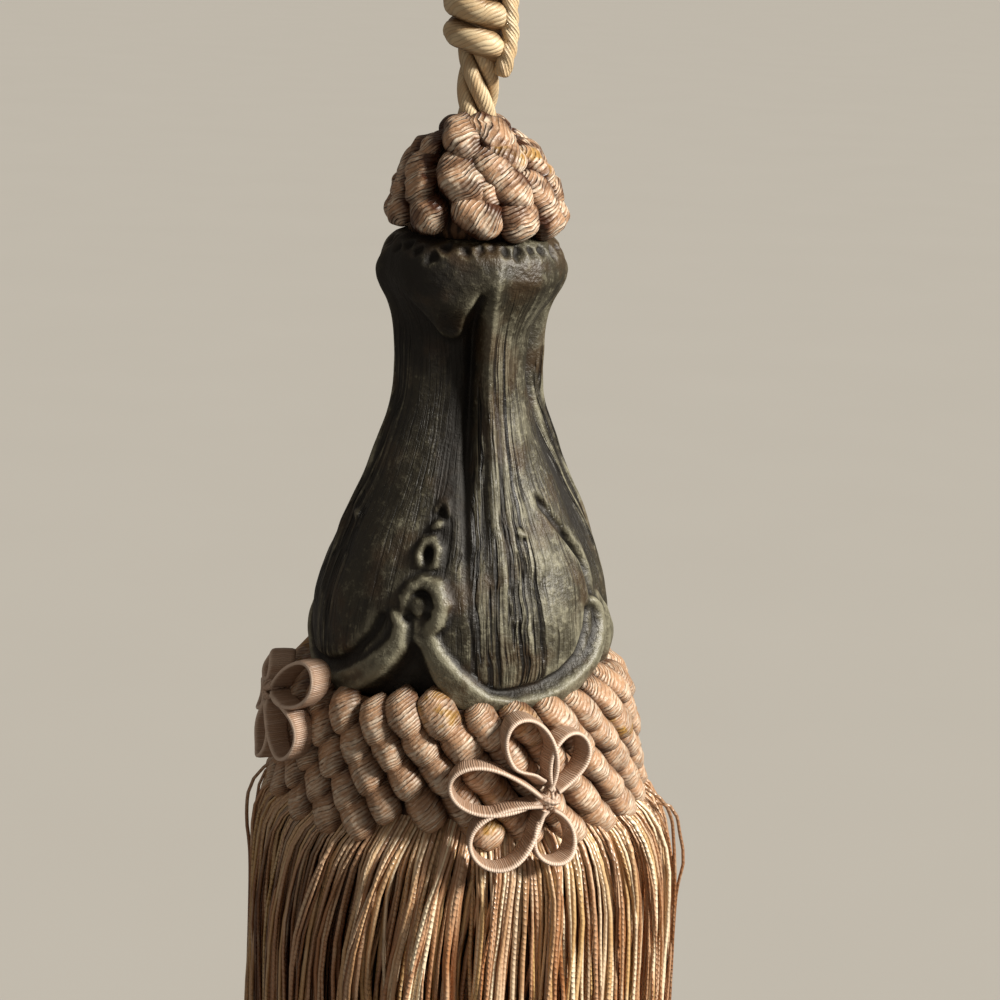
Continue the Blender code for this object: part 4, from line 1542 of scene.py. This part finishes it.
@dataclass
class GimpFlower:
    """A flower of five gimp loops stood on edge, pinched together at a stitched hub."""

    number: int
    turn: float
    drop: float
    size: float
    petals: tuple[Petal, ...]
    wide: float = 5.4 * MM
    thick: float = 1.15 * MM
    hub: float = 2.2 * MM
    stitches: int = 7
    stitch: float = 0.42 * MM  # radius of a stitch
    bed: Profile = Profile(
        (91, 35.4), (95.2, 36.7), (98.5, 37.9), (104, 39.1), (110, 40.1), (116, 41.1),
        (120, 42.3), (124, 43.9), (128, 45.5), (133, 46.8),
    )  # fmt: skip

    def on_bed(self, across: float, up: float, out: float) -> Vector:
        """Lays a flat point of the flower on its bed."""
        radius = self.bed.at(self.drop - up) + 0.2 * MM
        return place(self.turn + across / radius, radius + out, self.drop - up)

    def petal_line(self, petal: Petal, t: float) -> Vector:
        """A point of a petal's flat centreline.

        Args:
            petal: The petal.
            t: From -pi at the hub round the loop to pi.

        Returns:
            Its place across and up.
        """
        share = (1 + math.cos(t)) / 2
        along = self.hub + (petal.length * MM * self.size - self.hub) * share
        across = petal.width * MM * self.size * 0.54 * math.sin(t) * share**petal.neck
        across += math.copysign(0.55 * MM, t) * (1 - share)
        angle = math.radians(petal.direction)
        x, y = math.cos(angle), math.sin(angle)
        return Vector((x * along - y * across, y * along + x * across))

    def ribbon(self, petal: Petal, wave: float, lift: float) -> Placer:
        """The shape of a petal's ribbon.

        Args:
            petal: The petal.
            wave: Where its uneven edge starts.
            lift: How much wider than usual it is.

        Returns:
            A function of the shares round its section and along the loop.
        """

        def shape(u: float, v: float) -> Vector:
            """A point of the ribbon."""
            t = math.pi * (2 * v - 1)
            here = self.petal_line(petal, t)
            ahead = self.petal_line(petal, min(math.pi, t + 0.02))
            run = ahead - self.petal_line(petal, max(-math.pi, t - 0.02))
            run /= run.length or 1.0
            angle = FULL_TURN * u
            aside = fuller(math.cos(angle), 0.75) * self.thick / 2
            level = 0.5 + 0.5 * fuller(math.sin(angle), 0.6)
            deep = level * (self.wide + lift + 0.25 * MM * math.sin(3 * t + wave))
            laid = float(ease((0.5 - (1 + math.cos(t)) / 2) / 0.35)) * (t > 0)
            fold = math.radians(petal.lay) * laid
            here += Vector((run.y, -run.x)) * (aside + deep * math.sin(fold))
            return self.on_bed(*here, deep * math.cos(fold) + self.thick * math.sin(fold))

        return shape

    def build(self, material: Material) -> bpy.types.Object:
        """Builds the loops and the stitches that hold them.

        Args:
            material: Of both.

        Returns:
            The object.
        """
        piece = Piece(f"gimp_flower_{self.number}")
        rng = random.Random(self.number)

        def rim(u: float, _: float) -> float:
            """1 along the outer edge of the ribbon, which the finish paints paler, part fuzz and
            part painted highlight.
            """
            return 0.5 + 0.5 * math.sin(FULL_TURN * u)

        for petal in self.petals:
            shape = self.ribbon(petal, rng.uniform(0, 6.28), rng.uniform(-0.25, 0.35) * MM)
            piece.wrap(12, 64, shape, rim, (petal.length * 2 + petal.width) * self.size)
        for number in range(self.stitches):
            heading = rng.uniform(0, math.pi)
            reach = rng.uniform(1.7, 2.5) * MM
            high = self.wide * 0.62 + 0.12 * MM * number
            points = []
            for angle in (math.pi * i / 8 for i in range(9)):
                x, y = (-reach * math.cos(angle) * way(heading) for way in (math.cos, math.sin))
                points.append(self.on_bed(x, y, self.wide * 0.35 + high * math.sin(angle) ** 0.6))
            route = Route(points, Vector((0.3, 0.2, 1)))
            piece.wrap(6, 16, tube(route, self.stitch), 0.9, 5.0)
        return piece.finish(material, "rose_gimp", f"gimp_rosette_{self.number}")


@dataclass(frozen=True)
class Layer:
    """One layer of the fringe: how many threads, and how far in and how much shorter, in mm, and
    its range of tones, lower for the inner layers as painted shade.
    """

    threads: int
    inset: float
    shorter: float
    tones: tuple[float, float]


@dataclass
class Fringe:
    """The skirt: four layers of fine hanging threads round a shaded core, and a few strays."""

    outside: Profile = Profile(
        (114, 34.6), (118, 36.4), (121, 38.6), (123.6, 41.8), (126.6, 44.6), (131, 46.3),
        (138, 47.4), (150, 48.1), (180, 48.5), (276, 48.5),
    )  # fmt: skip
    hem: float = 274.6
    thick: float = 0.94 * MM
    plumb: float = 1.7 * MM  # how far the skirt hangs to the right of the head's axis
    root: float = 37 * MM  # the radius at which a stray leaves the ruff
    stray: float = 0.42 * MM  # its own radius
    # the inner layers take darker tones, as painted shade
    layers: tuple[Layer, ...] = (
        Layer(370, 0.4, 0.0, (0.10, 1.0)),
        Layer(350, 1.9, 0.8, (0.05, 0.95)),
        Layer(240, 4.2, 1.8, (0.0, 0.5)),
        Layer(190, 6.8, 3.0, (0.0, 0.35)),
    )
    stations: tuple[float, ...] = (
        115, 118.2, 120.6, 123, 126, 130, 135, 141, 148, 156, 165, 176, 190, 215, 245, 276,
    )  # fmt: skip  # the drops where a thread bends
    strays: tuple[tuple[float, ...], ...] = (
        (78, 118, 121, 41.5, 124, 45.6, 129, 48, 136, 48.3, 150, 49, 200, 49.2, 262, 49),
        (84, 126, 129, 48.2, 134, 49.4, 139, 50.4, 143, 50.6, 148, 49.6, 156, 49.3, 200, 49,
         266, 49.2),
        (-84, 117, 120, 40.6, 123, 44.6, 128, 47.6, 136, 48.6, 150, 48.4, 200, 48.9, 268, 48.8),
        (152, 119, 123, 44, 130, 49, 138, 50.2, 150, 49.2, 200, 49.4, 258, 49),
        (-140, 119, 123, 44, 130, 48.4, 142, 50, 156, 49.4, 200, 49.1, 263, 49.2),
    )  # fmt: skip  # turn and first drop, then a drop and radius for each bend

    def hung(self, share: float) -> float:
        """How far along a thread a share of its stations is, in mm."""
        return self.stations[round(share * (len(self.stations) - 1))] - self.stations[0]

    def hang(self, turn: float, radius: float, drop: float) -> Vector:
        """A point of the skirt, which hangs plumb below the leaning head.

        Args:
            turn: Its turn where it leaves the ruff.
            radius: Its radius.
            drop: Its drop in millimetres.

        Returns:
            The point, swept aside with the locks around it.
        """
        degrees = near(math.degrees(turn), 0, 360)
        swept = float(9.0 * bell((degrees - 70) / 40) - 15.0 * bell((degrees + 35) / 75)) - 2.0
        slow = unit((drop - 116) / 44)
        where = place(turn + math.radians(swept) * slow * (2 - slow), radius, drop * MM)
        where.x += self.plumb * float(ease((drop - 118) / 24))
        return where

    def thread(self, turn: float, layer: Layer, rng: random.Random, clump: Clump) -> Placer:
        """The shape of one thread.

        Args:
            turn: Where it leaves the ruff.
            layer: The layer that it hangs in.
            rng: Source of its small differences.
            clump: Drift and stand of the locks at a turn and a hang of 0 to 1.

        Returns:
            A function of the shares around and along.
        """
        hem = self.hem - layer.shorter - rng.uniform(0, 2.6)
        hem -= (rng.random() < 0.06) * rng.uniform(0, 8)
        sway = rng.gauss(0, 0.020)
        puff = (0.3 - abs(rng.gauss(0, 0.8))) * MM
        phase, pace = rng.uniform(0, 6.28), rng.uniform(0.05, 0.14)
        swing = rng.uniform(0.10, 0.60) * MM
        thick = self.thick * rng.uniform(0.66, 1.12) / 2
        twirl = rng.uniform(0, 6.28)

        def shape(u: float, v: float) -> Vector:
            """A point of the thread."""
            where = v * (len(self.stations) - 1)
            k = min(int(where), len(self.stations) - 2)
            drop = self.stations[k] + (self.stations[k + 1] - self.stations[k]) * (where - k)
            drop = min(drop, hem) if v < 1 else hem
            hang = unit((drop - 118) / 157)
            loose = min(1.0, hang * 9)
            drift, swell = clump(turn, hang)
            radius = self.outside.at(drop * MM) - layer.inset * MM * (0.45 + 0.55 * loose)
            radius += (puff + swell * MM + swing * 0.7 * math.cos(drop * pace + phase)) * loose
            drift += sway * min(1.0, hang * 3)
            drift += swing / radius * math.sin(drop * pace + phase) * loose
            angle = FULL_TURN * u + twirl
            aside = turn + drift + math.cos(angle) * thick / radius
            return self.hang(aside, radius + math.sin(angle) * thick, drop)

        return shape

    @staticmethod
    def clumps(seed: int) -> Clump:
        """How threads gather into locks, at each turn and hang.

        Args:
            seed: Picks one arrangement of locks.

        Returns:
            A function that gives the sideways drift in radians and how far the lock stands out.
        """
        rng = random.Random(seed)
        waves = []
        for _ in range(7):
            count, phase = rng.randint(15, 90), rng.uniform(0, 6.28)
            waves.append((count, phase, rng.uniform(0.5, 1.0), rng.uniform(1.0, 5.5)))

        def drift(turn: float, hang: float) -> tuple[float, float]:
            """The drift, and how far the lock stands out in mm."""
            aside = out = 0.0
            for count, phase, weight, grow in waves:
                angle = turn * count + phase + grow * hang * 2
                aside += weight / count * math.sin(angle)
                out += weight * math.cos(angle)
            return 0.80 * aside * min(1.0, hang * 9) * (0.7 + 0.3 * hang), -0.7 - 0.50 * out

        return drift

    def stray_line(self, turn: float, start: float, *bends: float) -> list[Vector]:
        """The route of a single thread that stands away from the skirt.

        Args:
            turn: Its turn in degrees.
            start: Its first drop in millimetres.
            *bends: A drop and a radius for each bend.

        Returns:
            The points of the route.
        """
        guides = [self.hang(math.radians(turn), self.root, start)]
        for drop, radius in zip(bends[::2], bends[1::2]):
            wavy = math.radians(turn + 2 * math.sin(drop / 5))
            guides.append(self.hang(wavy, radius * MM, drop))
        return smooth_line(guides, 40)

    def build(self, material: Material, core: Material) -> None:
        """Builds the layers, the strays and the core.

        Args:
            material: Of the threads.
            core: Of the core.
        """
        rng = random.Random(77)
        for number, layer in enumerate(self.layers, start=1):
            piece = Piece(f"fringe_layer_{number}")
            clump = self.clumps(100 + (number + 1) // 2)
            for i in range(layer.threads):
                turn = FULL_TURN * (i + rng.uniform(-0.35, 0.35)) / layer.threads
                shape = self.thread(turn, layer, rng, clump)
                degrees = near(math.degrees(turn), 0, 360)
                # painted shade and light: threads on the left, away from the sun, take darker
                # tones, and those at the front lighter ones
                shaded = 0.22 * bell((degrees + 50) / 48) - 0.15 * bell((degrees - 4) / 34)
                tone = unit(rng.uniform(*layer.tones) - float(shaded))
                piece.wrap(4, len(self.stations) - 1, shape, tone, self.hung)
            piece.finish(material, "gold_fringe", "skirt")
        loose = Piece("fringe_strays")
        for stray in self.strays:
            route = Route(self.stray_line(*stray), Vector((0.3, 0.2, 0.9)))
            loose.wrap(6, 90, tube(route, self.stray), 0.12, 150.0)
        loose.finish(material, "gold_fringe", "skirt")
        inner = Piece("fringe_core")

        def shaft(u: float, v: float) -> Vector:
            """A point of the core."""
            drop = 115.0 + 152.0 * v
            inset = (4.0 + 4.0 * min(1, v * 8)) * MM
            return self.hang(FULL_TURN * u, self.outside.at(drop * MM) - inset, drop)

        inner.wrap(96, 24, shaft)
        inner.finish(core, "gold_fringe", "skirt")


# ---------------------------------------------------------------- setting


@dataclass
class Studio:
    """The camera at the photograph's angle, the pale floor and the soft lights."""

    distance: float = 0.5
    pitch: float = 14.5
    roll: float = 2.0
    focal: float = 2352.0  # in pixels of a picture 1000 wide
    axis_at: float = 464.0  # where the tassel's axis crosses the middle row
    height: float = HEAD_TOP + 70.3 * MM
    sensor: float = 36.0
    floor_level: float = -0.50
    sun: float = 5.3
    sun_width: float = 13.0  # degrees
    fill: float = 0.45
    room: float = 0.16
    fill_at: tuple[float, ...] = (-0.50, -0.90, 0.10)
    sunbeam: tuple[float, ...] = (-0.79, 0.31, -0.53)

    def camera(self) -> None:
        """Makes the camera and gives it to the scene."""
        data = bpy.data.cameras.new("camera")
        data.sensor_width, data.sensor_fit = self.sensor, "HORIZONTAL"
        data.lens = self.focal / 1000 * self.sensor
        data.clip_start, data.clip_end = 0.02, 60.0
        camera = show("camera", data)
        yaw = math.atan((self.axis_at - 500) / self.focal)
        turns = ((yaw, "Z"), (math.radians(90 - self.pitch), "X"), (math.radians(self.roll), "Z"))
        aim = Matrix.Translation((0, -self.distance, self.height))
        for angle, axis in turns:
            aim = aim @ Matrix.Rotation(angle, 4, axis)
        camera.matrix_world = aim
        bpy.context.scene.camera = camera

    def floor(self) -> None:
        """A plain pale floor below the tassel, which throws no light up at it."""
        bm = bmesh.new()
        bmesh.ops.create_grid(bm, x_segments=1, y_segments=1, size=20)
        bmesh.ops.translate(bm, vec=(0, 0, self.floor_level), verts=bm.verts)
        mesh = bpy.data.meshes.new("floor")
        bm.to_mesh(mesh)
        bm.free()
        p = Palette("pale_floor")
        cloud = p.noise(p.here(), 6.0, 3.0)
        colour = p.blend(cloud, (0.495, 0.480, 0.450), (0.515, 0.500, 0.470))
        mesh.materials.append(p.surface(colour, 0.85, p.bump(cloud, 0.2 * MM)))
        floor = show("floor", mesh)
        floor.visible_diffuse = floor.visible_glossy = False
        floor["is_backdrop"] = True

    def lights(self) -> None:
        """The low sun of a window, a weak soft light from the left and a dim warm room."""
        sun = bpy.data.lights.new("window", "SUN")
        sun.energy, sun.angle, sun.color = self.sun, math.radians(self.sun_width), (1.0, 0.95, 0.86)
        beam = Vector(self.sunbeam)
        show("window", sun).rotation_euler = beam.to_track_quat("-Z", "Y").to_euler()
        fill = bpy.data.lights.new("fill", "AREA")
        fill.shape, fill.size = "SQUARE", 0.60
        fill.energy, fill.color = self.fill, (1.0, 0.92, 0.82)
        lamp = show("fill", fill)
        lamp.location = self.fill_at
        aim = Vector((0, 0, -0.2)) - lamp.location
        lamp.rotation_euler = aim.to_track_quat("-Z", "Y").to_euler()
        world = bpy.data.worlds.new("studio")
        world.use_nodes = True
        sockets = world.node_tree.nodes["Background"].inputs
        sockets["Color"].default_value = (1.0, 0.88, 0.74, 1)
        sockets["Strength"].default_value = self.room
        bpy.context.scene.world = world

    def build(self) -> None:
        """Makes the setting."""
        self.camera()
        self.floor()
        self.lights()
        bpy.context.scene.view_settings.view_transform = "Standard"


OPEN_PETALS = (
    Petal(108, 19.5, 10.4, 0.30, -24),
    Petal(61, 15.8, 9.6),
    Petal(167, 21.5, 12.0, 0.5),
    Petal(214, 20.6, 12.0),
    Petal(272, 13.7, 9.8, 0.3),
)
SIDE_PETALS = (
    Petal(24, 20.0, 11.6),
    Petal(-29, 20.0, 12.4),
    Petal(-82, 16.0, 9.5),
    Petal(152, 11.0, 8.0),
    Petal(206, 12.0, 8.0),
)
FLOWERS = (
    (25.9, 112.9, 0.92, OPEN_PETALS),
    (146, 109.4, 0.80, OPEN_PETALS),
    (206, 113.0, 0.92, OPEN_PETALS),
    (-75, 100.6, 0.90, SIDE_PETALS),
)  # turn in degrees, drop in mm, size


def main() -> None:
    """Builds the setting and the pieces from the hook down."""
    logging.basicConfig(level=logging.INFO, format="%(message)s")
    noise.seed_set(LUMP_SEED)
    Studio().build()
    cream = TwistedCord("cream_cord_twist").material()
    strands = TwistedCord("cream_neck_twist", yarn=1.0, starts=-13).material()
    rose = YarnWrap("rose_yarn_wrap").material()
    loose = YarnWrap(
        "rose_yarn_loose",
        thread=0.52,
        slant=-2.6,
        depth=0.24 * MM,
        parted=0.80,
        varied=0.8,
        rough=0.44,
        streaky=3.6,
        patchy=0.72,
        crease_shade=0.9,
    ).material()
    # painted shade for the rosette's core, the ruff's band and the fringe's core
    shaded = DarkCore("shaded_core").material()
    cords = Cords()
    cords.build_loop(cream)
    cords.build_knot(cream)
    cords.build_neck(strands)
    Rosette().build(loose, shaded)
    Head().build(BronzePatina("bronze_patina").material())
    Ruff().build(rose, shaded)
    gimp = GimpWrap("rose_gimp_wrap").material()
    for number, (turn, drop, size, petals) in enumerate(FLOWERS, start=1):
        GimpFlower(number, math.radians(turn), drop * MM, size, petals).build(gimp)
    Fringe().build(FringeThread("fringe_thread").material(), shaded)
    Blank.clear()
    boxes = {"cad": CAD_BOX, "scene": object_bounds()}
    {name: [list(corner) for corner in box] for name, box in boxes.items()}


if __name__ == "__main__":
    main()
